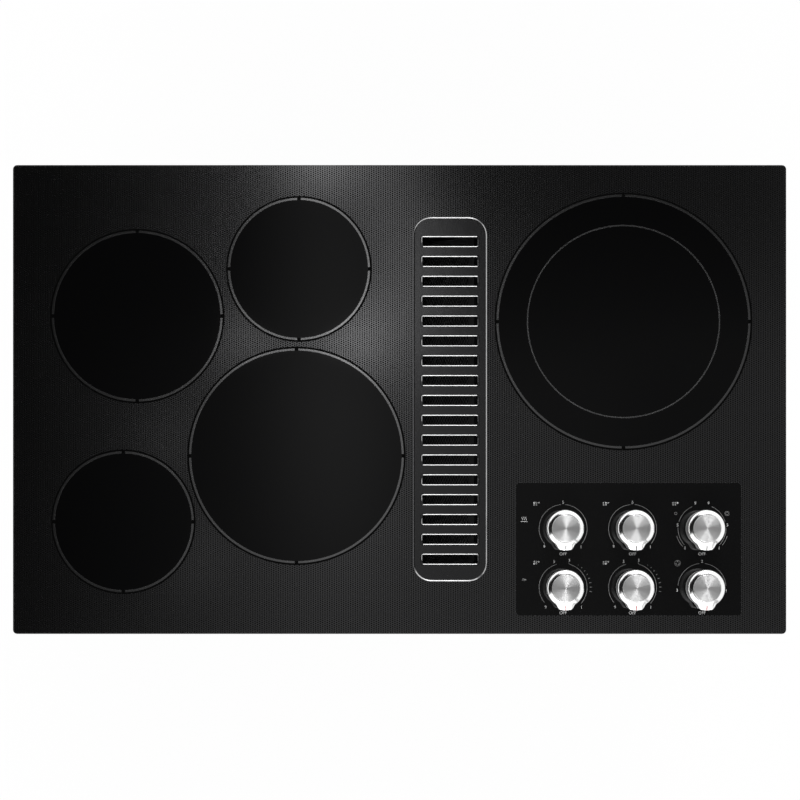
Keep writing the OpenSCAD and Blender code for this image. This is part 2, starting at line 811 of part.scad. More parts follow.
module wiring_harness() {
    left_x = block_centre(0).x;
    block_z0 = block_top_z - limiter_block_h;
    drop_in_box = 9;
    in_box_z = floor_z0 - sheet_t - drop_in_box;
    branch_offset = 4;
    color("crimson") {
        wire_path([[left_x, block_centre(0).y, block_z0], [left_x, block_centre(0).y, wire_z],
                   [left_x, trunk_y, wire_z], [side_x, trunk_y, wire_z], [side_x, term_y, wire_z],
                   [wire_hole_x, term_y, wire_z], [wire_hole_x, term_y, in_box_z],
                   [block_x0, term_y, in_box_z]], wire_r);
        for (i = [1 : 4]) let (p = block_centre(i))
            wire_path([[p.x, trunk_y, wire_z], [p.x, p.y, wire_z], [p.x, p.y, block_z0]], branch_r);
        for (i = [0 : 5]) let (x = dials[i].x + (i < 3 ? -1 : 1) * branch_offset, y = dials[i].y,
                               z1 = (i == 5 ? fan_z0 : switch_z0) - tab_h - gap)
            wire_path([[x, trunk_y, wire_z], [x, y, wire_z], [x, y, z1]], branch_r);
    }
}

// Downdraft grille, filter and air chamber

module vent_grille() {
    edge = 1.2;
    lip_t = 2;
    lip_play = 0.7;
    lip_w = vent_cut_w - 2 * (sheet_t + lip_play);
    lip_l = vent_cut_l - 2 * (sheet_t + lip_play);
    color([0.16, 0.16, 0.17]) translate([vent_x, 0, 0]) {
        difference() {
            union() {
                plate(rounded(grille_w, grille_l, grille_corner_r), grille_z0, grille_z1 - edge);
                plate(rounded(grille_w - 2 * edge, grille_l - 2 * edge, grille_corner_r - edge),
                      grille_z1 - 2 * edge, grille_z1);
            }
            for (i = [0 : slot_count - 1])
                translate([0, (i - (slot_count - 1) / 2) * slot_pitch, grille_z0 + grille_t / 2])
                    cube([slot_l, slot_w, 2 * grille_t], center = true);
        }
        ring_plate(rounded(lip_w, lip_l, 5), rounded(lip_w - 2 * lip_t, lip_l - 2 * lip_t, 3),
                   glass_z1 - lip_depth, grille_z0 + 0.1);
    }
}

// Places its child at the filter's middle, tilted with its right side up
module at_filter() {
    translate([vent_x, 0, filter_z]) rotate([0, -filter_tilt, 0]) children();
}

module filter_frame() {
    fold = filter_fold;
    color("silver") at_filter() difference() {
        translate([-filter_w / 2, -filter_l / 2, -filter_t / 2]) cube([filter_w, filter_l, filter_t]);
        translate([filter_rim - filter_w / 2, filter_rim - filter_l / 2, -filter_t])
            cube([filter_w - 2 * filter_rim, filter_l - 2 * filter_rim, 2 * filter_t]);
        translate([fold - filter_w / 2, fold - filter_l / 2, fold - filter_t / 2])
            cube([filter_w - 2 * fold, filter_l - 2 * fold, filter_t - 2 * fold]);
    }
}

module filter_mesh() {
    inset = filter_fold + 0.1;
    color([0.55, 0.55, 0.56]) at_filter()
        translate([inset - filter_w / 2, inset - filter_l / 2, inset - filter_t / 2])
            cube([filter_w - 2 * inset, filter_l - 2 * inset, filter_t - 2 * inset]);
}

// Side view of the air chamber, drawn in the Y-Z plane and drawn in by skin
module chamber_side(skin, top) {
    high = chamber_l / 2 - skin;
    low = chamber_low_l / 2 - skin;
    drain_z = -chamber_depth + skin;
    flat = neck_r + 4;
    fall_front = 12;
    fall_rear = 4;
    taper_z0 = floor_z0 - 70;
    taper_z1 = floor_z0 - 12;
    polygon([[-high, top], [-high, taper_z1], [-low, taper_z0], [-low, drain_z + fall_front],
             [drain_y - flat, drain_z], [drain_y + flat, drain_z], [low, drain_z + fall_rear],
             [low, taper_z0], [high, taper_z1], [high, top]]);
}

module air_chamber() {
    ledge_t = 1.2;
    low_ledge = 17;
    high_ledge = 7;
    inner_x0 = chamber_x0 + sheet_t;
    inner_x1 = chamber_x1 - sheet_t;
    ledge_l = filter_l - 40;
    high_ledge_run = filter_high_x - (chamber_w / 2 - sheet_t - high_ledge);
    high_ledge_z = filter_high_z - gap - high_ledge_run * tan(filter_tilt);
    color("lightgray") difference() {
        union() {
            difference() {
                along_x(chamber_x0, chamber_x1) chamber_side(0, glass_z0);
                along_x(inner_x0, inner_x1) chamber_side(sheet_t, glass_z0 + 1);
            }
            translate([vent_x, 0, 0])
                ring_plate(rounded(chamber_w + 2 * chamber_flange, chamber_l + 2 * chamber_flange, 4),
                           rounded(chamber_w - sheet_t, chamber_l - sheet_t, 0.1),
                           floor_z0 - sheet_t, floor_z0);
            translate([inner_x0 - sheet_t / 2, -ledge_l / 2, filter_low_z - gap - ledge_t])
                cube([low_ledge + sheet_t / 2, ledge_l, ledge_t]);
            translate([inner_x1 - high_ledge, -ledge_l / 2, high_ledge_z - ledge_t])
                cube([high_ledge + sheet_t / 2, ledge_l, ledge_t]);
            translate([vent_x, drain_y, 0])
                rod(neck_r, -chamber_depth - neck_h, -chamber_depth + sheet_t / 2);
        }
        translate([vent_x, drain_y, 0])
            rod(neck_r - neck_wall, -chamber_depth - neck_h - 1, -chamber_depth + sheet_t + 1);
        bar_x(inlet_r, chamber_x0 - 1, inner_x0 + 1);
        chamber_screws() screw_hole();
        blower_screws() screw_hole();
    }
}

module drain_cup() {
    top = -chamber_depth - gap;
    lip_h = neck_h - 2;
    color([0.9, 0.9, 0.88]) translate([vent_x, drain_y, 0]) difference() {
        rod(cup_r, top - cup_h, top);
        rod(neck_r + thread_gap, top - lip_h - 1, top + 1);
        rod(cup_r - cup_t, top - cup_h + cup_t, top - lip_h);
    }
}

// Blower and duct collar

module blower_housing() {
    inner_x0 = scroll_x0 + sheet_t;
    inner_x1 = scroll_x1 - sheet_t;
    motor_hole_r = 24;
    color("silver") difference() {
        union() {
            translate([0, 0, -blower_z])
                along_x(scroll_x0, scroll_x1) polygon(scroll_points(sheet_t, outlet_drop));
            translate([outlet_x - outlet_flange / 2, throat_y - outlet_flange / 2, outlet_z])
                cube([outlet_flange, outlet_flange, sheet_t]);
        }
        translate([0, 0, -blower_z]) along_x(inner_x0, inner_x1) polygon(scroll_points(0, outlet_drop + 1));
        bar_x(inlet_r, inner_x1 - 1, scroll_x1 + 1);
        bar_x(motor_hole_r, scroll_x0 - 1, inner_x0 + 1);
        blower_screws() screw_hole();
        motor_screws() screw_hole();
        collar_screws() screw_hole();
    }
}

module blower_wheel() {
    disc_t = 1.5;
    ring_t = 4;
    hub_r = 14;
    hub_l = 26;
    blade_t = 1;
    blade_r = wheel_r - blade_chord / 2 - 0.6;
    blade_l = wheel_x1 - wheel_x0 - disc_t / 2 - ring_t / 2;
    blade_tilt = 20;
    color([0.3, 0.3, 0.32]) difference() {
        union() {
            bar_x(wheel_r, wheel_x0, wheel_x0 + disc_t);
            bar_x(hub_r, wheel_x0, wheel_x0 + hub_l);
            difference() {
                bar_x(wheel_r, wheel_x1 - ring_t, wheel_x1);
                bar_x(wheel_r - blade_chord - 1, wheel_x1 - ring_t - 1, wheel_x1 + 1);
            }
            for (i = [0 : blade_count - 1])
                translate([wheel_x0 + disc_t / 2, 0, -blower_z]) rotate([i * 360 / blade_count, 0, 0])
                    translate([blade_l / 2, 0, blade_r]) rotate([blade_tilt, 0, 0])
                        cube([blade_l, blade_t, blade_chord], center = true);
        }
        bar_x(motor_shaft_r + 0.05, wheel_x0 - 1, wheel_x0 + hub_l + 1);
    }
}

module blower_motor() {
    end_t = 10;
    color([0.25, 0.25, 0.27]) difference() {
        union() {
            bar_x(motor_r, motor_x0, motor_x1 + 0.5);
            bar_x(motor_flange_r, motor_x1, scroll_x0);
            bar_x(12, motor_x0 - 6, motor_x0 + 1);
        }
        bar_x(rotor_r + 1, motor_x0 + end_t, motor_x1 - end_t);
        bar_x(motor_shaft_r + run_gap, motor_x0 - 3, scroll_x0 + 1);
        motor_screws() screw_hole();
    }
}

module motor_rotor() {
    core_margin = 14;
    color("gray") {
        bar_x(motor_shaft_r, motor_x0 - 2, wheel_x0 + 28);
        bar_x(rotor_r, motor_x0 + core_margin, motor_x1 - core_margin);
    }
}

module motor_capacitor() {
    post_r = 2;
    post_h = 6;
    x0 = scroll_x0 - capacitor_l;
    z = capacitor_up - blower_z;
    color([0.8, 0.8, 0.85]) {
        bar_x(capacitor_r, x0, scroll_x0, capacitor_y, z);
        for (s = [-1, 1]) bar_x(post_r, x0 - post_h, x0 + 1, capacitor_y + s * post_h, z);
    }
}

module duct_collar() {
    hem = 1.2;
    color("silver") translate([outlet_x, throat_y, outlet_z - sheet_t]) difference() {
        union() {
            translate([-outlet_flange / 2, -outlet_flange / 2, 0])
                cube([outlet_flange, outlet_flange, sheet_t]);
            rod(duct_r, -collar_l, sheet_t / 2);
        }
        rod(duct_r - hem, -collar_l - 1, 0);
        translate([-scroll_w / 2 + sheet_t, throat_y0 - throat_y, -1])
            cube([scroll_w - 2 * sheet_t, throat_y1 - throat_y0, sheet_t + 2]);
        translate([-outlet_x, -throat_y, sheet_t - outlet_z]) collar_screws() screw_hole();
    }
}

// Counter clamps

module clamp_bracket() {
    x0 = box_w / 2;
    boss_r = 7;
    difference() {
        union() {
            translate([x0, -clamp_w / 2, clamp_z0]) cube([clamp_t, clamp_w, clamp_h]);
            translate([x0, -clamp_w / 2, clamp_z0]) cube([clamp_reach, clamp_w, clamp_t]);
            translate([clamp_screw_x, 0, 0]) rod(boss_r, clamp_z0 - clamp_boss_h, clamp_z0 + clamp_t / 2);
        }
        translate([clamp_screw_x, 0, 0])
            rod(clamp_screw_r + run_gap, clamp_z0 - clamp_boss_h - 1, clamp_z0 + clamp_t + 1);
        one_bracket_screws() screw_hole();
    }
}

module clamp_brackets() {
    color("silver") {
        clamp_bracket();
        mirror([1, 0, 0]) clamp_bracket();
    }
}

module clamp_screw() {
    pad_r = 9;
    pad_h = 3;
    head_r = 6;
    head_h = 5;
    low_z = clamp_z0 - clamp_boss_h - 18;
    translate([clamp_screw_x, 0, 0]) {
        rod(pad_r, counter_z0 - pad_h, counter_z0);
        rod(clamp_screw_r, low_z - 1, counter_z0 - 1);
        translate([0, 0, low_z - head_h]) cylinder(r = head_r, h = head_h, $fn = 6);
    }
}

module clamp_screw_left() {
    color("gray") mirror([1, 0, 0]) clamp_screw();
}

module clamp_screw_right() {
    color("gray") clamp_screw();
}

// Sheet screws: each is drawn pointing down, its head's underside at the origin

module screw() {
    rod(screw_head_r, 0, screw_head_h);
    rod(screw_r, -screw_l, 0.5);
}

module screw_hole() {
    rod(screw_hole_r, -screw_l - 1, screw_head_h + 1);
}

module side_screws() {
    z = glass_z0 - frame_leg / 2 - 1;
    for (s = [-1, 1]) for (y = [-box_d / 3, box_d / 3])
        translate([s * box_w / 2, y, z]) rotate([0, s * 90, 0]) children();
    for (s = [-1, 1]) for (x = [-box_w / 3, box_w / 3])
        translate([x, s * box_d / 2, z]) rotate([-s * 90, 0, 0]) children();
}

module chamber_screws() {
    for (s = [-1, 1]) for (y = [-chamber_l * 0.38, chamber_l * 0.38])
        translate([vent_x + s * (chamber_w / 2 + chamber_flange / 2 + 1), y, floor_z0 - sheet_t])
            rotate([180, 0, 0]) children();
}

module blower_screws() {
    around = 89;
    for (a = [20, 75, 130, 180])
        translate([chamber_x0 + sheet_t, around * cos(a), around * sin(a) - blower_z])
            rotate([0, 90, 0]) children();
}

module motor_screws() {
    around = motor_flange_r - 6;
    for (a = [30, 150, 270])
        translate([scroll_x0 - motor_flange_t, around * cos(a), around * sin(a) - blower_z])
            rotate([0, -90, 0]) children();
}

module collar_screws() {
    corner = outlet_flange / 2 - 6;
    for (sx = [-1, 1]) for (sy = [-1, 1])
        translate([outlet_x + sx * corner, throat_y + sy * corner, outlet_z + sheet_t]) children();
}

module terminal_screws() {
    for (s = [-1, 1])
        translate([term_x + term_l / 2 - 12, term_y + s * (term_w / 2 - 10), floor_z0 - sheet_t])
            rotate([180, 0, 0]) children();
}

module cover_screws() {
    for (s = [-1, 1])
        translate([term_x, term_y + s * term_w / 2, term_z0 + cover_lip / 2])
            rotate([-s * 90, 0, 0]) children();
}

module one_bracket_screws() {
    for (y = [-clamp_w / 4, clamp_w / 4])
        translate([box_w / 2 + clamp_t, y, clamp_z0 + clamp_screw_up]) rotate([0, 90, 0]) children();
}

module clamp_bracket_screws() {
    one_bracket_screws() children();
    mirror([1, 0, 0]) one_bracket_screws() children();
}

module screws() {
    color("darkgray") {
        side_screws() screw();
        chamber_screws() screw();
        blower_screws() screw();
        motor_screws() screw();
        collar_screws() screw();
        terminal_screws() screw();
        cover_screws() screw();
        clamp_bracket_screws() screw();
    }
}

glass_top();
glass_frame();
counter_gasket();
knob_grommets();
for (i = [0 : 5]) knob(dials[i]);
for (i = [0 : 4]) shaft(dials[i]);
shaft(dials[5], fan_z0 + fan_seat + gap);  // shaft_fan
for (i = [0 : 4]) cam(dials[i]);
infinite_switches();
fan_control();
switch_nuts();
switch_bracket();
indicator_lamps();
for (i = [0 : 4]) element_pan(i);
for (i = [0 : 4])
    element_insulation(i);
element_coils();
element_limiters();
element_springs();
element_rails();
burner_box();
terminal_box();
terminal_cover();
terminal_block();
wiring_harness();
vent_grille();
filter_frame();
filter_mesh();
air_chamber();
drain_cup();
blower_housing();
blower_wheel();
blower_motor();
motor_rotor();
motor_capacitor();
duct_collar();
clamp_brackets();
clamp_screw_left();
clamp_screw_right();
screws();
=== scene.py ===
# %% [markdown]
# # A downdraft cooktop
# A black ceramic glass top lies over five radiant elements. A slotted grille in its middle lets a blower
# below draw the smoke down, and six turned metal knobs stand on a plain panel at the front right.
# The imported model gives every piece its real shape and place. This script gives each one its finish, and
# builds finer surfaces where small shapes show: the marks on the panel, the knobs, the grille and the mesh
# of the filter.

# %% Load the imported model
import functools
import math

import bmesh
import bpy
import numpy as np
from mathutils.geometry import delaunay_2d_cdt
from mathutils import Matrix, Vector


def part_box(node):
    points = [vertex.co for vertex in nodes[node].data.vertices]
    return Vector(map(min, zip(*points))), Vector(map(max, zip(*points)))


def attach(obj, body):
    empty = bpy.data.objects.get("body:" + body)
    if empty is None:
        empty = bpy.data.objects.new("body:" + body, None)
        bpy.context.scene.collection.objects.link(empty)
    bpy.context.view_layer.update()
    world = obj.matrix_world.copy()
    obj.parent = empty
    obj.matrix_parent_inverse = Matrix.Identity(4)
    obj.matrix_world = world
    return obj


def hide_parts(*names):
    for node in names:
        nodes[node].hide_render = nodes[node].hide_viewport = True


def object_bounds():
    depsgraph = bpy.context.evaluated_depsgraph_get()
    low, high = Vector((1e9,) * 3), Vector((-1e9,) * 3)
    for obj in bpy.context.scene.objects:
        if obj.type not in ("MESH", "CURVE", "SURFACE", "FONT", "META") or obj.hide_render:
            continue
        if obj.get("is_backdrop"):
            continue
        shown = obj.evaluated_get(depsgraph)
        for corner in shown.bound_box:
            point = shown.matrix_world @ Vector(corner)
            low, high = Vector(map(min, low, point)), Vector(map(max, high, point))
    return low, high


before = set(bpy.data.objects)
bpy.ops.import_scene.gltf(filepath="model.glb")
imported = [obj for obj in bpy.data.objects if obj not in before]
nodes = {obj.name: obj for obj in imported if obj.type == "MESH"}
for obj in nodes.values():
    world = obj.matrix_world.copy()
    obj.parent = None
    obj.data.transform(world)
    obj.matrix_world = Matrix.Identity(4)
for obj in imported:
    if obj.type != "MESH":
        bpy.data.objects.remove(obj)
cad_low, cad_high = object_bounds()
MM = 0.001
glass_low, glass_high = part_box("glass_top")
glass_top_z = glass_high.z
# the radius of each zone's printed ring in millimetres, and how far the smooth black reaches past it
RING_RADIUS = {"left_rear": 100.6, "centre_rear": 83.5, "right": 150.2,
               "left_front": 82.8, "centre_front": 126.8}
ZONE_MARGIN = 3.5 * MM
zones = {}
for name, radius in RING_RADIUS.items():
    low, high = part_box("element_pan_" + name)
    zones[name] = ((low.x + high.x) / 2, (low.y + high.y) / 2, radius * MM)
print("nodes", len(nodes), "glass", [round(v, 4) for v in glass_high - glass_low], "zones", len(zones))

# %% [markdown]
# ## Camera
# The cooktop is seen from straight above. The camera stands over the row of knobs, a little in front of
# the middle, so its lens is shifted to bring the whole glass into the frame. A shift keeps the sides of the
# glass parallel, which a tilted camera wouldn't.

# %% Camera
CAMERA_HEIGHT = 1.52
CAMERA_Y = -0.1556
FRAME_WIDTH = 0.954
FRAME_CENTRE = (0.0005, -0.0006)
SENSOR = 36.0

camera = bpy.data.objects.new("camera", bpy.data.cameras.new("camera"))
bpy.context.scene.collection.objects.link(camera)
camera.location = (FRAME_CENTRE[0], CAMERA_Y, CAMERA_HEIGHT)
camera.data.sensor_width = SENSOR
camera.data.lens = SENSOR * (CAMERA_HEIGHT - glass_top_z) / FRAME_WIDTH
camera.data.shift_y = (FRAME_CENTRE[1] - CAMERA_Y) / FRAME_WIDTH
bpy.context.scene.camera = camera
bpy.context.scene.view_settings.view_transform = "Standard"
print("lens", round(camera.data.lens, 2), "shift", round(camera.data.shift_y, 4))

# %% [markdown]
# ## Shader sums as Python expressions
# A finish is a small sum over the surface: how far is this point from a ring, does it lie in a dot. In a
# node editor such a sum is a long chain of Math nodes. Here a Value stands for the output of a node, and
# writing a + b or 1 - a adds the Math node for it, so a finish reads like a formula.

# %% Values and node trees
def adds(operation):
    """A method of Value that adds one Math node with this operation."""
    return lambda self, *others: self.tree.node(
        "ShaderNodeMath", {"operation": operation}, dict(enumerate((self, *others))))


class Value:
    """One number that changes over the surface. Arithmetic on it adds Math nodes."""

    def __init__(self, tree, socket):
        self.tree, self.socket = tree, socket

    __add__ = __radd__ = adds("ADD")
    __sub__ = adds("SUBTRACT")
    __mul__ = __rmul__ = adds("MULTIPLY")
    __truediv__ = adds("DIVIDE")
    __pow__ = adds("POWER")
    __abs__ = adds("ABSOLUTE")
    sin = adds("SINE")
    sqrt = adds("SQRT")
    exp = adds("EXPONENT")
    wrap = adds("FRACT")
    least = adds("MINIMUM")
    most = adds("MAXIMUM")

    def __neg__(self):
        return self * -1.0

    def __rsub__(self, other):
        return -self + other

    def step(self, low, high):
        """0 below low, 1 above high, and a smooth rise between. With low above high it falls."""
        if low > high:
            return 1 - self.step(high, low)
        settings = {"interpolation_type": "SMOOTHSTEP"}
        return self.tree.node("ShaderNodeMapRange", settings, {0: self, 1: low, 2: high, 3: 0.0, 4: 1.0})


def most_of(values):
    """The largest of several Values at each point."""
    return functools.reduce(Value.most, values)


class Tree:
    """The node tree of a material or of the world."""

    def __init__(self, owner):
        owner.use_nodes = True
        self.nodes, self.links = owner.node_tree.nodes, owner.node_tree.links
        self.nodes.clear()

    def node(self, kind, settings=None, inputs=None, output=0):
        """Adds a node, sets its settings, feeds its inputs and gives back one of its outputs."""
        made = self.nodes.new(kind)
        for key, value in (settings or {}).items():
            if key == "stops":
                while len(made.color_ramp.elements) < len(value):
                    made.color_ramp.elements.new(0.5)
                for element, (place, colour) in zip(made.color_ramp.elements, value):
                    element.position, element.color = place, (*colour, 1)
            else:
                setattr(made, key, value)
        for key, value in (inputs or {}).items():
            self.feed(made.inputs[key], value)
        return Value(self, made.outputs[output]) if len(made.outputs) else made

    def feed(self, socket, value):
        """Links a Value to a socket, or sets a number, a colour or a vector on it."""
        if isinstance(value, Value):
            self.links.new(value.socket, socket)
        elif isinstance(value, (tuple, list)) and socket.type == "RGBA":
            socket.default_value = (*value, 1.0)
        else:
            socket.default_value = value

    def place(self):
        """The point on the surface in metres, as three Values, and as one vector."""
        at = self.node("ShaderNodeTexCoord", output="Object")
        return (*self.split(at), at)

    def split(self, vector):
        made = self.nodes.new("ShaderNodeSeparateXYZ")
        self.feed(made.inputs[0], vector)
        return tuple(Value(self, made.outputs[i]) for i in range(3))

    def join(self, x, y, z):
        return self.node("ShaderNodeCombineXYZ", None, {0: x, 1: y, 2: z})

    def attribute(self, name):
        """A number stored on the points of a mesh."""
        return self.node("ShaderNodeAttribute", {"attribute_name": name}, output="Fac")

    def mix(self, factor, a, b):
        """Colour a where factor is 0, and b where it is 1."""
        made = self.nodes.new("ShaderNodeMix")
        made.data_type = "RGBA"
        self.feed(made.inputs["Factor"], factor)
        self.feed(made.inputs[6], a)
        self.feed(made.inputs[7], b)
        return Value(self, made.outputs[2])

    def noise(self, at, scale, detail=2.0, roughness=0.5):
        return self.node("ShaderNodeTexNoise", None,
                         {"Vector": at, "Scale": scale, "Detail": detail, "Roughness": roughness})

    def bump(self, height, distance, strength):
        return self.node("ShaderNodeBump", None,
                         {"Height": height, "Distance": distance, "Strength": strength})


class Finish(Tree):
    """A material with one Principled surface. Its sockets take numbers, colours or Values."""

    def __init__(self, name):
        self.material = bpy.data.materials.new(name)
        super().__init__(self.material)

    def surface(self, **sockets):
        names = {key: key.replace("_", " ").title() for key in sockets}
        names["ior"] = "IOR"
        shader = self.node("ShaderNodeBsdfPrincipled", None,
                           {names[key]: value for key, value in sockets.items()})
        self.node("ShaderNodeOutputMaterial", None, {"Surface": shader})
        return self.material


def give(material, *names):
    """Puts a finish on CAD nodes."""
    for name in names:
        mesh = nodes[name].data
        if not mesh.materials:
            mesh.materials.append(material)
        for i in range(len(mesh.materials)):
            mesh.materials[i] = material


print("shader tools ready")

# %% [markdown]
# ## Light and floor
# Polished black glass shows whatever is above it, so a black top needs a dark ceiling. Metal knobs show
# what stands around them, so they need bright walls. The world here is such a studio. Overhead it is dim,
# with faint fields that wake the print, one along the side of the grille and a shaded place at the rear.
# The cards that light the print between the zones are cut off round each zone, so its smooth black stays
# black. Soft boxes stand at the rear, rear left, right and front, with a glow at the left. Two narrow
# strips among them draw the bow tie on the knobs, and the narrow gaps between the boxes draw its dark
# streaks. A soft lamp overhead fills the plain surfaces. The camera, and what metal or glass mirrors of the
# floor, see it plain white, with a faint shadow.

# %% World
CEILING = 0.008
# level, azimuth, half width, softness, and the angles from straight up where it starts, is full and ends
BOXES = {"rear": (1.5, 74, 26, 12, 37, 46, 180),
         "rear_left": (1.5, 118, 26, 14, 50, 60, 180),
         "right": (1.2, 8, 47, 4, 36, 46, 180),
         "front": (1.6, 260, 49, 10, 27, 35, 180),
         "rear_strip": (7.0, 84, 2, 12, 34, 46, 66),
         "front_strip": (7.0, 264, 4, 14, 34, 46, 66),
         "left_glow": (1.4, 160, 36, 10, 64, 74, 180)}
# round each zone the cards between the zones rise from nothing to full over these distances from its ring
CARD_GAP = (4 * MM, 11 * MM)

world = bpy.data.worlds.new("studio")
bpy.context.scene.world = world
sky = Tree(world)
look = sky.node("ShaderNodeTexCoord", output="Generated")
dx, dy, dz = sky.split(look)
flat = (dx * dx + dy * dy).sqrt() + 1e-4


def softbox(level, azimuth, half_width, softness, start, full, end):
    """A bright field round one azimuth, between two angles from straight up."""
    a = math.radians(azimuth)
    towards = (dx * math.cos(a) + dy * math.sin(a)) / flat
    wide = math.cos(math.radians(half_width + softness))
    return (level * towards.step(wide, math.cos(math.radians(half_width)))
            * dz.step(math.cos(math.radians(start)), math.cos(math.radians(full)))
            * dz.step(math.cos(math.radians(end)) - 0.01, math.cos(math.radians(end)) + 0.06))


def span(slope, start, full, fade, end):
    """0 before start, 1 from full to fade, and 0 again past end."""
    return slope.step(start, full) * slope.step(end, fade)


def hump(slope, middle, width):
    """exp(-t^2) with t = (slope - middle) / width."""
    return (-(((slope - middle) / width) ** 2)).exp()


# Slopes from straight up. The glass at (x, y) mirrors the sky at its distances from the camera over eye.
slope_x = dx / dz.most(0.2)
slope_y = dy / dz.most(0.2)
eye = CAMERA_HEIGHT - glass_top_z
beside = 1.0
for cx, cy, radius in zones.values():
    across, along = slope_x - (cx - FRAME_CENTRE[0]) / eye, slope_y - (cy - CAMERA_Y) / eye
    away = (across * across + along * along).sqrt()
    beside = beside * away.step((radius + CARD_GAP[0]) / eye, (radius + CARD_GAP[1]) / eye)

# each field: its level, then the slopes across and along where it rises and falls
band = 0.16 * hump(slope_x, -0.050, 0.058) * slope_y.step(-0.14, 0.10)
middle = 0.32 * span(slope_x, -0.026, -0.016, 0.008, 0.024) * slope_y.step(0.12, 0.17)
grille_side = 0.44 * span(slope_x, 0.008, 0.013, 0.012, 0.046) * span(slope_y, 0.05, 0.22, 0.24, 0.27)
wide_right = slope_x.step(0.13, 0.22) * slope_y.step(0.16, 0.10)
wide = 0.095 * slope_x.step(-0.33, 0.0) * slope_y.step(0.26, 0.09) * (1 - 0.24 * wide_right)
rear_card = 1.5 * hump(slope_x, -0.062, 0.020) * span(slope_y, 0.262, 0.285, 0.48, 0.62)
front_card = 0.34 * slope_x.step(-0.30, 0.0) * span(slope_y, -0.55, -0.35, -0.22, -0.12)
right_card = 0.06 * span(slope_x, 0.30, 0.36, 0.55, 0.70) * slope_y.step(0.02, 0.16)
far = 0.016 * slope_y.step(0.16, 0.24) * slope_x.step(-0.30, -0.10)
shade = 1 - 0.55 * span(slope_x, -0.005, 0.012, 0.08, 0.14) * slope_y.step(0.235, 0.265)
between = 2.4 * span(slope_x, -0.17, -0.06, -0.05, 0.0) * span(slope_y, 0.115, 0.145, 0.16, 0.195)
between_left = (0.22 * span(slope_x, -0.205, -0.175, -0.155, -0.14)
                * span(slope_y, -0.06, -0.02, 0.07, 0.10))
between_right = (0.20 * span(slope_x, 0.078, 0.095, 0.115, 0.14)
                 * span(slope_y, 0.17, 0.205, 0.225, 0.25))
fields = (band + middle + grille_side + wide + rear_card) * shade + front_card + right_card + far
fields = fields + beside * (between + between_left + between_right)
# the fields are overhead only: they fade from 37 to 46 degrees from straight up
level = CEILING + fields * dz.step(0.7, 0.8) + most_of([softbox(*box) for box in BOXES.values()])
seen = sky.node("ShaderNodeLightPath", output="Is Camera Ray")
through = sky.node("ShaderNodeLightPath", output="Is Transmission Ray")
white = seen.most(through)
glow = sky.node("ShaderNodeBackground", None,
                {"Color": (1, 1, 1), "Strength": white + level * (1 - white)})
sky.node("ShaderNodeOutputWorld", None, {"Surface": glow})
print("world ready")

# %% Lamp and floor
LAMP_AT = (0.3, 0.5, 2.3)
LAMP_SIZE = 1.8
LAMP_POWER = 8.0
FLOOR_SIZE = 30.0
FLOOR_GLOW = 0.96
FLOOR_GAP = 0.5 * MM

lamp = bpy.data.objects.new("soft_lamp", bpy.data.lights.new("soft_lamp", "AREA"))
bpy.context.scene.collection.objects.link(lamp)
lamp.data.size = LAMP_SIZE
lamp.data.energy = LAMP_POWER
lamp.location = LAMP_AT
lamp.rotation_euler = (math.atan2(-LAMP_AT[1], LAMP_AT[2]), math.atan2(LAMP_AT[0], LAMP_AT[2]), 0)
lamp.visible_glossy = False
lamp.visible_camera = False

floor_z = cad_low.z - FLOOR_GAP
half = FLOOR_SIZE / 2
floor_mesh = bpy.data.meshes.new("floor")
floor_mesh.from_pydata([(-half, -half, floor_z), (half, -half, floor_z), (half, half, floor_z),
                        (-half, half, floor_z)], [], [(0, 1, 2, 3)])
floor = bpy.data.objects.new("floor", floor_mesh)
bpy.context.scene.collection.objects.link(floor)
floor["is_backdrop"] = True

paper = Finish("floor_paper")
bare = paper.node("ShaderNodeBsdfDiffuse", None, {"Color": (0.9, 0.9, 0.9)})
shine = paper.node("ShaderNodeEmission", None, {"Color": (1, 1, 1), "Strength": 1.0})
rays = [paper.node("ShaderNodeLightPath", output=name)
        for name in ("Is Camera Ray", "Is Glossy Ray", "Is Transmission Ray")]
direct = rays[0].most(rays[1]).most(rays[2])
sheet = paper.node("ShaderNodeMixShader", None, {0: direct * FLOOR_GLOW, 1: bare, 2: shine})
clear = paper.node("ShaderNodeBsdfTransparent")
from_below = paper.node("ShaderNodeNewGeometry", output="Backfacing") * rays[0]
paper.node("ShaderNodeOutputMaterial", None, {"Surface": paper.node(
    "ShaderNodeMixShader", None, {0: from_below, 1: sheet, 2: clear})})
floor_mesh.materials.append(paper.material)
print("floor at", round(floor_z, 4))

# %% [markdown]
# ## Building surfaces
# Most small shapes here are a profile turned round an axis or carried along a closed path. Both come out as
# a grid of points, rows by columns, so one function turns any such grid into a mesh.

# %% Surface tools
# how far past a corner the extra point on a straight side lies
SIDE_LEAD = 0.5 * MM


def grid_faces(rows, columns, wrap):
    """Quads between neighbouring points of a grid. With wrap the last column meets the first."""
    i, j = np.meshgrid(np.arange(rows - 1), np.arange(columns if wrap else columns - 1), indexing="ij")
    k = (j + 1) % columns
    quads = np.stack([i * columns + j, i * columns + k, (i + 1) * columns + k, (i + 1) * columns + j], -1)
    return quads.reshape(-1, 4)


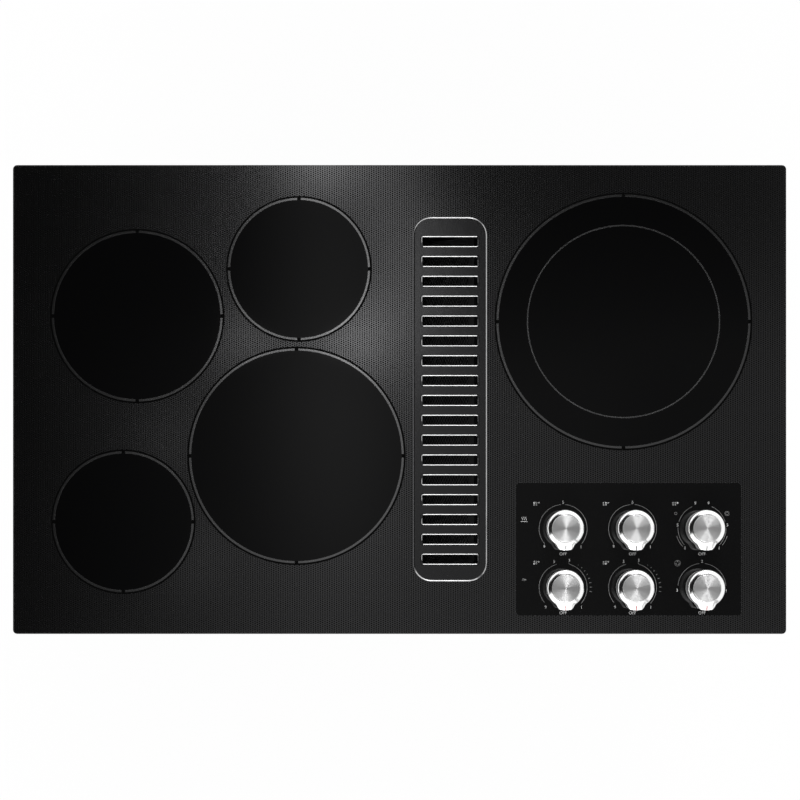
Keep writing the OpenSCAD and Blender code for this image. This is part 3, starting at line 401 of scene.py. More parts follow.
def solid(name, parts, material, body, smooth=30.0, attributes=None, replaces=()):
    """One piece from several (points, faces) parts: doubles are merged and normals turned outwards. Edges
    that bend by more than smooth degrees stay sharp."""
    points, faces, start = [], [], 0
    for part_points, part_faces in parts:
        points.append(np.asarray(part_points, float).reshape(-1, 3))
        faces += [[int(i) + start for i in face] for face in part_faces]
        start += len(points[-1])
    mesh = bpy.data.meshes.new(name)
    mesh.from_pydata(np.vstack(points), [], faces)
    for key, values in (attributes or {}).items():
        layer = mesh.attributes.new(key, "FLOAT", "POINT")
        layer.data.foreach_set("value", np.asarray(values, np.float32))
    work = bmesh.new()
    work.from_mesh(mesh)
    bmesh.ops.remove_doubles(work, verts=work.verts, dist=1e-6)
    bmesh.ops.dissolve_degenerate(work, edges=work.edges, dist=1e-7)
    bmesh.ops.recalc_face_normals(work, faces=work.faces)
    open_edges = sum(not edge.is_manifold for edge in work.edges)
    work.to_mesh(mesh)
    work.free()
    mesh.shade_smooth()
    mesh.set_sharp_from_angle(angle=math.radians(smooth))
    mesh.materials.append(material)
    piece = bpy.data.objects.new(name, mesh)
    bpy.context.scene.collection.objects.link(piece)
    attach(piece, body)
    if replaces:
        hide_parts(*replaces)
    print(name, len(mesh.polygons), "faces,", open_edges, "open edges")
    return piece


def turned(profile, centre, columns):
    """A profile of (radius, height) pairs turned round an upright axis: the point at angle a is
    (radius * cos a, radius * sin a, height)."""
    a = np.linspace(0, 2 * math.pi, columns, endpoint=False)
    r, z = profile[:, :1], profile[:, 1:]
    grid = np.stack([centre[0] + r * np.cos(a), centre[1] + r * np.sin(a),
                     centre[2] + z + 0 * a], -1)
    return grid.reshape(-1, 3), grid_faces(len(profile), columns, True)


def rounded_loop(width, depth, radius, count, centre):
    """count points round a rectangle with rounded corners, at even distances along its edge. With count 0
    each corner has nine points and one more on the straight side before and after it."""
    x, y = width / 2 - radius, depth / 2 - radius
    a = np.linspace(0, math.pi / 2, 9)
    arcs = [np.stack([sx * x + radius * np.cos(a + turn), sy * y + radius * np.sin(a + turn)], -1)
            for sx, sy, turn in ((1, 1, 0), (-1, 1, math.pi / 2), (-1, -1, math.pi), (1, -1, -math.pi / 2))]
    if count == 0:
        ways = [np.array([math.cos(turn), math.sin(turn)])
                for turn in (0, math.pi / 2, math.pi, -math.pi / 2)]
        loops = [np.vstack([arc[0] - SIDE_LEAD * ways[i - 3], arc, arc[-1] - SIDE_LEAD * ways[i]])
                 for i, arc in enumerate(arcs)]
        return np.vstack(loops) + centre
    loop = np.vstack(arcs + [arcs[0][:1]])
    along = np.r_[0, np.cumsum(np.linalg.norm(np.diff(loop, axis=0), axis=1))]
    at = np.linspace(0, along[-1], count, endpoint=False)
    return np.stack([np.interp(at, along, loop[:, i]) + centre[i] for i in range(2)], -1)


print("surface tools ready")

# %% [markdown]
# ## The glass and its print
# The top is black glass ceramic. Most of it carries a dark metallic print, pierced by a fine staggered
# pattern of dots. The print stops at each cooking zone and at the control panel, which stay mirror smooth.
# Each zone has a ring in a paler tone of the print, broken in four places, and the right zone has a second
# thin ring inside. Below the print lies a dull black undercoat, which shows in the dots, in the breaks of
# the rings and as a line round each ring. The print is rougher than the glass, so it catches light from
# further round.

# %% Glass finish
RING_WIDTH = 2.4 * MM
RING_BREAK = 4.4 * MM
INNER_RING_RADIUS = 114.5 * MM
INNER_RING_WIDTH = 1.1 * MM
DOT_COLUMNS = 5.56 * MM
DOT_ROWS = 2.52 * MM
DOT_RADIUS = 0.80 * MM
DOT_SOFT = 0.002 * MM
# how far from the glass's edge the print starts, and how far below its top the top's finish ends
BARE_RIM = (0.8 * MM, 1.3 * MM)
TOP_SKIN = (0.3 * MM, 0.1 * MM)
UNDERCOAT = (0.012, 0.012, 0.012)
GLASS_ROUGH, PRINT_ROUGH, DULL_ROUGH = 0.028, 0.075, 0.28
PANEL_CENTRE = (273.1 * MM, -178.5 * MM)
PANEL_SIZE = (269.0 * MM, 158.6 * MM)
PANEL_CORNER = 5.0 * MM
SOFT = 0.15 * MM

glass = Finish("ceramic_glass")
x, y, z, at = glass.place()
insides, ring_lines, borders = [], [], []
for name, (cx, cy, radius) in zones.items():
    across, along = abs(x - cx), abs(y - cy)
    distance = (across * across + along * along).sqrt()
    ring_start = radius - RING_WIDTH / 2
    inside = distance.step(radius + ZONE_MARGIN + SOFT, radius + ZONE_MARGIN - SOFT)
    line = abs(distance - radius).step(RING_WIDTH / 2 + SOFT, RING_WIDTH / 2 - SOFT)
    line = line * across.least(along).step(RING_BREAK / 2 - SOFT, RING_BREAK / 2 + SOFT)
    insides.append(inside)
    borders.append(inside * distance.step(ring_start - SOFT, ring_start + SOFT) * (1 - line))
    if name == "right":
        thin = abs(distance - INNER_RING_RADIUS)
        line = line.most(thin.step(INNER_RING_WIDTH / 2 + SOFT, INNER_RING_WIDTH / 2 - SOFT))
    ring_lines.append(line)
clear, ring_print, rim = most_of(insides), most_of(ring_lines), most_of(borders)

panel_x = (abs(x - PANEL_CENTRE[0]) - (PANEL_SIZE[0] / 2 - PANEL_CORNER)).most(0.0)
panel_y = (abs(y - PANEL_CENTRE[1]) - (PANEL_SIZE[1] / 2 - PANEL_CORNER)).most(0.0)
panel = (panel_x * panel_x + panel_y * panel_y).sqrt().step(PANEL_CORNER + SOFT, PANEL_CORNER - SOFT)

# two even grids of dots, one shifted by half a step both ways
grids = []
for shift in (0.0, 0.5):
    u = ((x / DOT_COLUMNS + shift).wrap() - 0.5) * DOT_COLUMNS
    v = ((y / DOT_ROWS + shift).wrap() - 0.5) * DOT_ROWS
    grids.append((u * u + v * v).sqrt().step(DOT_RADIUS + DOT_SOFT, DOT_RADIUS - DOT_SOFT))
dot = most_of(grids)

edge = (glass_high.x - abs(x)).least(glass_high.y - abs(y)).step(*BARE_RIM)
on_top = z.step(glass_top_z - TOP_SKIN[0], glass_top_z - TOP_SKIN[1])
field_area = (1 - clear.most(panel)) * on_top * edge
print_mask = (field_area * (1 - dot)).most(ring_print * on_top)
cloud = glass.noise(at, 9.0, 3.0)
flake = glass.noise(at, 1900.0, 2.0, 0.7)
grey = glass.node("ShaderNodeValToRGB", {"stops": [(0.30, (0.20, 0.20, 0.205)),
                                                   (0.70, (0.28, 0.28, 0.285))]}, {0: flake})
underside = glass.noise(at, 60.0, 2.0).step(0.35, 0.65)
smooth_black = glass.mix(panel, (0.0011, 0.0011, 0.0012), (0.0022, 0.0022, 0.0023))
body = glass.mix(underside * (1 - on_top), smooth_black, (0.004, 0.004, 0.0045))
undercoat = dot * field_area + rim * on_top
ring_grey = glass.mix(flake.step(0.3, 0.7), (0.44, 0.44, 0.445), (0.56, 0.56, 0.565))
colour = glass.mix(print_mask, glass.mix(undercoat, body, UNDERCOAT),
                   glass.mix(ring_print, grey, ring_grey))
rough = (GLASS_ROUGH + 0.012 * cloud + print_mask * (PRINT_ROUGH + 0.035 * flake)
         + DULL_ROUGH * (undercoat + 1 - on_top))
relief = glass.bump(print_mask * 0.5 + 0.02 * flake * print_mask, 0.02 * MM, 0.6)
give(glass.surface(base_color=colour, roughness=rough, metallic=print_mask + undercoat, ior=1.54,
                   normal=relief), "glass_top")
print("glass finish ready, zones", len(zones))

# %% [markdown]
# ## Marks on the panel
# The real panel names its zones and settings in words. A plain scale says the same to anyone: numbers from
# low to high round each dial, OFF at the bottom, five small squares that show which zone the knob works, a
# fan by the fan knob and a heat sign by one lamp. Each mark is a film of pale print a few hundredths of a
# millimetre thick, so it is built as a very flat closed strip that starts just inside the glass.

# %% Print shapes
PRINT_LOW = glass_top_z - 0.02 * MM
PRINT_HIGH = glass_top_z + 0.03 * MM
KNOB_R = 22.0 * MM
# the height of a capital as a share of the face's size
CAPITAL = 0.72
# the width of the lines of the heat sign
WAVE_LINE = 0.6
dials = {}
for name in ("left_rear", "centre_rear", "right", "left_front", "centre_front", "fan"):
    low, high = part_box("knob_" + name)
    dials[name] = ((low.x + high.x) / 2, high.y - KNOB_R, low.z)


def flat_strip(inner, outer):
    """A closed flat strip between two polylines of as many points: the outline at each step along it is
    the rectangle from the inner to the outer point, between the two print heights."""
    low, high = np.full(len(inner), PRINT_LOW), np.full(len(inner), PRINT_HIGH)
    rows = np.stack([np.c_[inner, low], np.c_[outer, low], np.c_[outer, high], np.c_[inner, high]], 1)
    faces = grid_faces(len(inner), 4, True).tolist()
    last = 4 * (len(inner) - 1)
    return rows.reshape(-1, 3), faces + [[0, 1, 2, 3], [last + 3, last + 2, last + 1, last]]


def arc(centre, radius, width, start, end):
    """A strip along a circle, from start to end in degrees: its edges at angle a are the points
    centre + (radius +- width / 2) (cos a, sin a)."""
    steps = max(3, int(abs(end - start) / 3))
    a = np.radians(np.linspace(start, end, steps))
    ray = np.stack([np.cos(a), np.sin(a)], -1)
    inner, outer = radius - width / 2, radius + width / 2
    return flat_strip(centre + ray * inner * MM, centre + ray * outer * MM)


def bar(centre, x0, y0, x1, y1, width):
    """A straight strip from one point to another, in millimetres from the centre."""
    p, q = np.array([x0, y0]), np.array([x1, y1])
    side = np.array([y0 - y1, x1 - x0]) / np.linalg.norm(q - p) * width / 2
    line = np.stack([p, (p + q) / 2, q])
    return flat_strip(centre + (line - side) * MM, centre + (line + side) * MM)


def wave(centre, x0, y0, height, width):
    """An upright S-shaped strip: x = x0 + width / 2 * sin(2 pi t), y = y0 + height * t."""
    t = np.linspace(0, 1, 13)
    line = np.stack([x0 + width / 2 * np.sin(2 * math.pi * t), y0 + height * t], -1)
    aside = (WAVE_LINE / 2, 0)
    return flat_strip(centre + (line - aside) * MM, centre + (line + aside) * MM)


def lettering(centre, text, px, py, height):
    """A short text in the plain built-in face, made a mesh before it is put in its place."""
    curve = bpy.data.curves.new("text", "FONT")
    curve.body, curve.size, curve.resolution_u = text, height / CAPITAL, 3
    curve.align_x, curve.align_y = "CENTER", "CENTER"
    curve.extrude = (PRINT_HIGH - PRINT_LOW) / MM / 2
    holder = bpy.data.objects.new("text", curve)
    bpy.context.scene.collection.objects.link(holder)
    depsgraph = bpy.context.evaluated_depsgraph_get()
    mesh = bpy.data.meshes.new_from_object(holder.evaluated_get(depsgraph))
    points = np.empty(3 * len(mesh.vertices))
    mesh.vertices.foreach_get("co", points)
    points = points.reshape(-1, 3)
    faces = [list(face.vertices) for face in mesh.polygons]
    bpy.data.objects.remove(holder)
    bpy.data.curves.remove(curve)
    bpy.data.meshes.remove(mesh)
    middle = (points.min(0) + points.max(0)) / 2
    place = np.array([centre[0] + px * MM, centre[1] + py * MM, (PRINT_LOW + PRINT_HIGH) / 2])
    return (points - middle) * MM + place, faces


def zone_sign(centre, px, py, which):
    """Five squares laid out as the zones are; the one that the knob works is filled in. A filled square is
    1.8 mm wide, and an open one has lines 0.28 mm wide."""
    made = []
    cells = {"left_rear": (-2.7, 1.1), "centre_rear": (0, 1.1), "right": (2.7, 1.1),
             "left_front": (-2.7, -1.3), "centre_front": (0, -1.3)}
    for name, (cx, cy) in cells.items():
        cx, cy = cx + px, cy + py
        if name == which:
            made.append(bar(centre, cx - 0.9, cy, cx + 0.9, cy, 1.8))
            continue
        for side in (-0.62, 0.62):
            made.append(bar(centre, cx - 0.75, cy + side, cx + 0.75, cy + side, 0.28))
            made.append(bar(centre, cx + side, cy - 0.5, cx + side, cy + 0.5, 0.28))
    return made


print("dials", {name: [round(v, 4) for v in place] for name, place in dials.items()})

# %% Panel marks
DIAL_R = 28.6
DIAL_LINE = 0.55
SIGN_LINE = 0.45
NUMERAL = 3.6
OFF_Y, OFF_HEIGHT = -30.3, 3.7
HEAT_SIGN_Y = -143.3 * MM
ON_Y, ON_HEIGHT = -214.8 * MM, 2.3
# each kind of scale, in millimetres from its dial: arcs (radius, start, end) and numbers (text, x, y)
SCALES = {
    "rear": ([(DIAL_R, -39, 85), (DIAL_R, 95, 219)],
             [("5", 0, 31.1), ("9", -22.5, -21.3), ("1", 21.3, -21.9)]),
    "front": ([(DIAL_R, -42, 75), (DIAL_R, 105.5, 219)],
              [("5", -10.6, 30.9), ("3", 7.3, 32.2), ("9", -20.8, -23.4), ("1", 21.8, -23.8)]),
    "right": ([(DIAL_R, 114, 163.7), (DIAL_R, 178, 223), (DIAL_R, 16.3, 66), (DIAL_R, -43, 2),
               (31.4, 196.7, 223), (31.4, -39, -16.4)],
              [("9", -8, 30.2), ("9", 7.75, 30.2), ("5", -29.1, 4.2), ("5", 30.2, 4.2),
               ("1", -20.2, -23.3), ("1", 20.4, -23.3)]),
    "fan": ([(DIAL_R, 97, 176), (DIAL_R, 4, 83)],
            [("2", 0, 31.1), ("3", -29.7, -3.3), ("1", 28.9, -3.9)])}
# the small circles beside the right dial, one for the outer ring alone and two for both: (x, y, radius)
RING_SIGNS = ((-31.2, 17.9, 1.5), (29.8, 17.9, 1.5), (29.8, 17.9, 2.6))
FAN_SIGN = (-29.2, 28.9)
FAN_R, BLADE_AT, BLADE_R = 3.4, 1.35, 0.75
ZONE_SIGN = (-31.8, 29.5)
# the short mark at the 3 of a front dial, from one point to the other, and the row of ticks beside that
# dial: count, first angle and step in degrees, then where the ticks start, where the first one ends, how
# much further out each next one ends, and their width
MARK_3 = (7.4, 27.6, 6.6, 29.6)
TICK_COUNT, TICK_ANGLE, TICK_STEP = 8, 56, 9.2
TICK_IN, TICK_OUT, TICK_GROWTH, TICK_WIDTH = 31.8, 32.6, 0.28, 0.6

lines, signs = [], []
for name, (cx, cy, _) in dials.items():
    c = np.array([cx, cy])
    kind = name.split("_")[-1]
    arcs, numbers = SCALES[kind]
    lines += [arc(c, radius, DIAL_LINE, start, end) for radius, start, end in arcs]
    signs.append(lettering(c, "OFF", 0, OFF_Y, OFF_HEIGHT))
    signs += [lettering(c, text, px, py, NUMERAL) for text, px, py in numbers]
    if kind == "front":
        lines.append(bar(c, *MARK_3, DIAL_LINE))
        for i in range(TICK_COUNT):
            a = math.radians(TICK_ANGLE - TICK_STEP * i)
            ray, reach = np.array([math.cos(a), math.sin(a)]), TICK_OUT + TICK_GROWTH * i
            lines.append(bar(c, *(TICK_IN * ray), *(reach * ray), TICK_WIDTH))
    elif kind == "right":
        lines += [arc(c + np.array([px, py]) * MM, radius, SIGN_LINE, 0, 352)
                  for px, py, radius in RING_SIGNS]
    elif kind == "fan":
        hub = c + np.array(FAN_SIGN) * MM
        lines.append(arc(hub, FAN_R, SIGN_LINE, 0, 354))
        for turn in (90, 210, 330):
            a = math.radians(turn)
            blade = hub + np.array([math.cos(a), math.sin(a)]) * BLADE_AT * MM
            lines.append(arc(blade, BLADE_R, BLADE_R, turn - 110, turn + 90))
    if kind != "fan":
        signs += zone_sign(c, *ZONE_SIGN, name)

lamp_low, lamp_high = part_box("indicator_lamps")
lamp_x = (lamp_low.x + lamp_high.x) / 2
hot = np.array([lamp_x, HEAT_SIGN_Y])
signs += [wave(hot, x0, -0.8, 4.2, 1.1) for x0 in (-2.2, 0.0, 2.2)]
signs.append(bar(hot, -4.0, -2.2, 4.0, -2.2, WAVE_LINE))
signs.append(lettering(np.array([lamp_x, ON_Y]), "ON", 0, 0, ON_HEIGHT))


def print_finish(name, colour):
    """A pale ceramic print: its tone wanders a little and its skin is slightly grainy."""
    made = Finish(name)
    *_, at = made.place()
    grain = made.noise(at, 2400.0, 2.0)
    tone = made.mix(grain.step(0.3, 0.7), tuple(0.86 * v for v in colour), colour)
    return made.surface(base_color=tone, roughness=0.38 + 0.15 * grain, metallic=0.2,
                        normal=made.bump(grain, 0.01 * MM, 0.4))


solid("panel_lines", lines, print_finish("line_print", (0.20, 0.20, 0.20)), "root")
solid("panel_signs", signs, print_finish("sign_print", (0.60, 0.60, 0.60)), "root")

# %% [markdown]
# ## The knobs
# Each knob is turned from a solid bar of metal: a foot, a side that widens upwards and a rounded shoulder.
# A raised disc is let into the shoulder as a piece of its own. The disc keeps the fine rings of the turning
# tool, so light draws a bow tie on it. At the front the side runs out into a pointer with a short engraved
# line, which is black in the rear row and red in the front row. The knob without its disc is one grid: a
# profile turned round its axis, whose outer rows are pushed out to follow the outline of the pointer.

# %% Knob shape
# The pointer stands out POINTER_OUT millimetres, in full up to the first angle from the front, and is gone
# at the second. Its nose is curved: it falls back by POINTER_CURVE at the first angle.
POINTER_OUT = 4.3
POINTER_FULL, POINTER_END = 13.0, 34.0
POINTER_CURVE = 0.35
# where the engraved line starts and ends in front of the axis, and its width; how far its inlay goes down
# into the shoulder and stands above it
POINTER_LINE = (20.6, 25.9, 1.1)
INLAY_DEPTH, INLAY_RISE = 0.5, 0.05
# radius and height in millimetres, and how far the row follows the pointer
KNOB_ROWS = np.array([
    (0.0, 15.2, 0), (3.1, 15.2, 0), (3.1, 2.2, 0), (3.4, 2.0, 0), (5.8, 2.0, 0), (6.0, 2.3, 0),
    (6.0, 15.5, 0), (18.3, 15.5, 0), (18.5, 15.2, 0), (18.5, 0.2, 0), (18.7, 0.0, 0), (20.2, 0.0, 0),
    (20.5, 0.3, 0), (20.5, 1.3, 0), (20.3, 1.6, 0), (19.8, 2.2, 0), (19.8, 2.6, 0), (20.2, 3.0, 0.0),
    (20.75, 3.1, 0.82), (20.95, 3.4, 0.97), (21.0, 3.9, 1.0), (20.85, 4.4, 1.0), (20.55, 4.8, 1.0),
    (20.5, 5.1, 1.0), (20.9, 9.8, 1), (20.85, 10.3, 1), (20.55, 10.8, 1), (20.55, 11.1, 1),
    (21.0, 11.6, 1), (21.15, 12.0, 1), (22.0, 18.8, 1), (21.95, 19.33, 1), (21.85, 19.8, 0.98),
    (21.65, 20.3, 0.93), (21.35, 20.74, 0.82), (20.9, 21.21, 0.65), (20.3, 21.68, 0.45),
    (19.6, 22.14, 0.28), (18.8, 22.57, 0.16), (18.0, 22.94, 0.08), (17.2, 23.24, 0.03),
    (16.5, 23.48, 0), (16.4, 23.5, 0), (15.9, 23.45, 0), (8.0, 23.45, 0), (0.0, 23.45, 0)])
# the rows that the engraved line lies on
SHOULDER = slice(30, -4)
# above this height the side is polished, and satin below it
SATIN_TOP = 18.5 * MM
# the disc let into the shoulder: radius and height
DISC_ROWS = np.array([
    (0.0, 23.5), (15.9, 23.5), (16.2, 23.52), (16.3, 23.6), (16.3, 24.3), (16.22, 24.6), (16.0, 24.82),
    (15.7, 24.93), (15.3, 24.95), (14.9, 24.92), (14.0, 24.9), (12.0, 24.87), (9.0, 24.83), (6.0, 24.8),
    (3.0, 24.78), (1.4, 24.77), (0.7, 24.74), (0.3, 24.66), (0.0, 24.62)]) * MM
KNOB_COLUMNS = 192
DISC_COLUMNS = 128


def smooth_rise(t):
    """0 below 0, 1 above 1, and 3 t^2 - 2 t^3 between."""
    t = np.clip(t, 0, 1)
    return t * t * (3 - 2 * t)


def knob_grid(centre):
    """The point of row (r, z, w) at angle a is (R cos a, R sin a, z), with R = r + w * out(a). out(a) is
    POINTER_OUT at the front and falls to 0 between POINTER_FULL and POINTER_END degrees from it."""
    a = np.linspace(0, 2 * math.pi, KNOB_COLUMNS, endpoint=False)
    from_front = np.abs((np.degrees(a) + 90 + 180) % 360 - 180)
    out = POINTER_OUT * (1 - smooth_rise((from_front - POINTER_FULL) / (POINTER_END - POINTER_FULL)))
    out -= POINTER_CURVE * (from_front / POINTER_FULL) ** 2 * (from_front < POINTER_FULL)
    r, z, w = (KNOB_ROWS[:, i:i + 1] for i in range(3))
    reach = (r + w * out) * MM
    grid = np.stack([centre[0] + reach * np.cos(a), centre[1] + reach * np.sin(a),
                     centre[2] + z * MM + 0 * a], -1)
    turn_radius = np.repeat(r[:, 0] * MM, KNOB_COLUMNS)
    return grid.reshape(-1, 3), grid_faces(len(KNOB_ROWS), KNOB_COLUMNS, True), turn_radius


def pointer_line(centre):
    """A thin inlay that lies on the shoulder: at distance d in front of the axis its top stands at the
    shoulder's height there, found from the knob's own rows, and INLAY_RISE above it."""
    start, end, width = POINTER_LINE
    rows = KNOB_ROWS[SHOULDER][::-1]
    reach, height = rows[:, 0] + rows[:, 2] * POINTER_OUT, rows[:, 1]
    between_ends = reach[(reach > start + 0.02) & (reach < end - 0.02)]
    d = np.sort(np.r_[np.linspace(start, end, 14), between_ends])
    z = np.interp(d, reach, height)
    half = width / 2
    ring = [(-half, -INLAY_DEPTH), (half, -INLAY_DEPTH), (half, INLAY_RISE), (-half, INLAY_RISE)]
    points = np.stack([np.stack([centre[0] + x0 * MM + 0 * d, centre[1] - d * MM,
                                 centre[2] + (z + dz) * MM], -1) for x0, dz in ring], 1)
    faces = grid_faces(len(d), 4, True).tolist()
    last = 4 * (len(d) - 1)
    return points.reshape(-1, 3), faces + [[3, 2, 1, 0], [last, last + 1, last + 2, last + 3]]


# %% Knob finish
def turned_metal(name, tone, roughness, ring_height, satin_below=0.0, **constants):
    """Metal from a lathe: rings follow the distance from the knob's own axis, so they are fed by the
    attribute that holds it, and the finish stays the same while the knob turns."""
    made = Finish(name)
    *_, z, at = made.place()
    along = made.join(made.attribute("turn_radius"), 0.0, z)
    rings = made.noise(along, 2600.0, 2.0, 0.6)
    wide_rings = made.noise(along, 420.0, 1.0)
    mottle = made.noise(at, 700.0, 2.0)
    colour = made.mix(0.7 * rings + 0.3 * mottle, tone, tuple(0.88 * v for v in tone))
    rough = roughness * (0.85 + 0.3 * wide_rings) + 0.03 * mottle
    rough = rough + 0.34 * z.step(satin_below + 0.6 * MM, satin_below - 0.6 * MM)
    relief = made.bump(0.6 * rings + 0.3 * wide_rings + 0.1 * mottle, ring_height, 1.0)
    return made.surface(base_color=colour, roughness=rough, metallic=1.0, normal=relief, **constants)


side_metal = turned_metal("knob_side_metal", (0.86, 0.86, 0.86), 0.14, 0.010 * MM,
                          satin_below=dials["fan"][2] + SATIN_TOP)
disc_metal = turned_metal("knob_disc_metal", (0.88, 0.88, 0.88), 0.41, 0.02 * MM,
                          anisotropic=0.95, anisotropic_rotation=0.25)


def paint(name, colour):
    """Paint in an engraved line, a little thicker in some places than others."""
    made = Finish(name)
    *_, at = made.place()
    blot = made.noise(at, 1500.0, 2.0)
    return made.surface(base_color=made.mix(blot, colour, tuple(0.7 * v for v in colour)),
                        roughness=0.4 + 0.2 * blot, normal=made.bump(blot, 0.01 * MM, 0.5))


line_paint = {"rear": paint("black_line_paint", (0.035, 0.03, 0.03)),
              "front": paint("red_line_paint", (0.45, 0.02, 0.02))}
rows_middle = np.mean([centre[1] for centre in dials.values()])
for name, centre in dials.items():
    points, faces, turn_radius = knob_grid(centre)
    solid("turned_knob_" + name, [(points, faces)], side_metal, "dial_" + name, 32,
          attributes={"turn_radius": turn_radius}, replaces=["knob_" + name])
    points, faces = turned(DISC_ROWS, centre, DISC_COLUMNS)
    solid("turned_disc_" + name, [(points, faces)], disc_metal, "dial_" + name, 32,
          attributes={"turn_radius": np.repeat(DISC_ROWS[:, 0], DISC_COLUMNS)})
    row = "front" if centre[1] < rows_middle else "rear"
    solid("pointer_line_" + name, [pointer_line(centre)], line_paint[row], "dial_" + name)

# %% [markdown]
# ## The vent grille
# The grille is one thick metal plate in satin black enamel, with a lip below that drops into the vent
# opening. All its edges are rolled over, and those narrow rolls are what shines in the light. The plate is
# built from closed outlines: each roll is a quarter ellipse carried round an outline, and flat faces fill
# what lies between the rolls. The slots lie a little forward of the middle.

# %% Grille shape
SLOT_COUNT = 17
SLOT_PITCH = 23.62 * MM
SLOT_SHIFT = -1.4 * MM
SLOT_SIZE = (65.6 * MM, 10.2 * MM)
SLOT_CORNER = 0.8 * MM
GRILLE_CORNER = 22.0 * MM
GRILLE_POINTS = 240
# how far in and how far down each roll reaches
OUTER_ROLL = (2.4 * MM, 2.0 * MM)
SLOT_ROLL = (2.0 * MM, 1.5 * MM)
FLAT_BAND = 0.35 * MM
BOTTOM_BEVEL = 0.25 * MM
BOTTOM_BAND = 0.6 * MM
# the grille's air over the glass, and how far its lip reaches up into the plate
GRILLE_GAP = 0.3 * MM
LIP_ROOT = 0.5 * MM
LIP_SIZE = (72.6 * MM, 418.6 * MM)
LIP_WALL = 2.0 * MM
LIP_CORNER = 5.0 * MM
LIP_BEVEL = 0.4 * MM
LIP_POINTS = 160

grille_low, grille_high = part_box("vent_grille")
grille_x = (grille_low.x + grille_high.x) / 2
grille_y = (grille_low.y + grille_high.y) / 2
grille_top = grille_high.z
grille_bottom = glass_top_z + GRILLE_GAP
outline = (grille_high.x - grille_low.x, grille_high.y - grille_low.y)


def rolled_edge(size, corner, centre, roll, count, outwards):
    """Rows round an outline: the flat band, a quarter ellipse down, the wall, and a small turn below.
    Row i is the outline moved in by d[i], at height z[i]; for a slot the plate lies outside it."""
    t = np.linspace(0, math.pi / 2, 7)
    d = np.r_[roll[0] + FLAT_BAND, roll[0] * (1 - np.sin(t)), 0.0, 0.0, BOTTOM_BEVEL, BOTTOM_BAND]
    z = np.r_[grille_top, grille_top - roll[1] * (1 - np.cos(t)), grille_bottom + 0.8 * MM,
              grille_bottom + BOTTOM_BEVEL, grille_bottom, grille_bottom]
    sign = 1 if outwards else -1
    rows = []
    for di, zi in zip(sign * d, z):
        loop = rounded_loop(size[0] - 2 * di, size[1] - 2 * di, corner - di, count, centre)
        rows.append(np.c_[loop, np.full(len(loop), zi)])
    return np.stack(rows)


def flat_fill(outer, holes, height, centres):
    """Triangles between an outer outline and the slots, all at one height. A triangle whose middle lies in
    a slot's size is left out. The holes are wider by the roll, so slivers stay inside their rims."""
    loops = [outer[:, :2], *[hole[:, :2] for hole in holes]]
    edges, start = [], 0
    for loop in loops:
        edges += [(start + i, start + (i + 1) % len(loop)) for i in range(len(loop))]
        start += len(loop)
    flat, _, triangles, *_ = delaunay_2d_cdt(np.vstack(loops).tolist(), edges, [], 1, 1e-7)
    flat = np.array([tuple(p) for p in flat])
    triangles = np.array([list(t) for t in triangles])
    middle = flat[triangles].mean(1)
    keep = np.ones(len(triangles), bool)
    for centre in centres:
        keep &= ~(np.abs(middle - centre) < np.array(SLOT_SIZE) / 2).all(1)
    return np.c_[flat, np.full(len(flat), height)], triangles[keep]


slot_centres = [(grille_x, grille_y + SLOT_SHIFT + (i - (SLOT_COUNT - 1) / 2) * SLOT_PITCH)
                for i in range(SLOT_COUNT)]
outer_rows = rolled_edge(outline, GRILLE_CORNER, (grille_x, grille_y), OUTER_ROLL, GRILLE_POINTS, True)
slot_rows = [rolled_edge(SLOT_SIZE, SLOT_CORNER, centre, SLOT_ROLL, 0, False) for centre in slot_centres]
parts = [(rows.reshape(-1, 3), grid_faces(len(rows), rows.shape[1], True))
         for rows in [outer_rows, *slot_rows]]
for i, height in ((0, grille_top), (-1, grille_bottom)):
    parts.append(flat_fill(outer_rows[i], [rows[i] for rows in slot_rows], height, slot_centres))
# the lip's section, as (how far in, height) pairs round it
lip_top, lip_bottom = grille_bottom + LIP_ROOT, grille_low.z
lip_section = [(0.0, lip_top), (0.0, lip_bottom + LIP_BEVEL), (LIP_BEVEL, lip_bottom),
               (LIP_WALL - LIP_BEVEL, lip_bottom), (LIP_WALL, lip_bottom + LIP_BEVEL), (LIP_WALL, lip_top)]
lip = []
for d, height in (*lip_section, lip_section[0]):
    loop = rounded_loop(LIP_SIZE[0] - 2 * d, LIP_SIZE[1] - 2 * d, LIP_CORNER - d, LIP_POINTS,
                        (grille_x, grille_y))
    lip.append(np.c_[loop, np.full(LIP_POINTS, height)])
parts.append((np.concatenate(lip), grid_faces(len(lip), LIP_POINTS, True)))

# %% Grille finish
# how deep below the top the worn rolls start and end
ROLL_START = (0.02 * MM, 0.24 * MM)
ROLL_END = (2.3 * MM, 1.6 * MM)

enamel = Finish("grille_enamel")
x, _, z, at = enamel.place()
pebble = enamel.noise(at, 620.0, 3.0, 0.6)
sag = enamel.noise(at, 85.0, 2.0)
depth = grille_top - z
on_roll = depth.step(*ROLL_START) * depth.step(*ROLL_END)
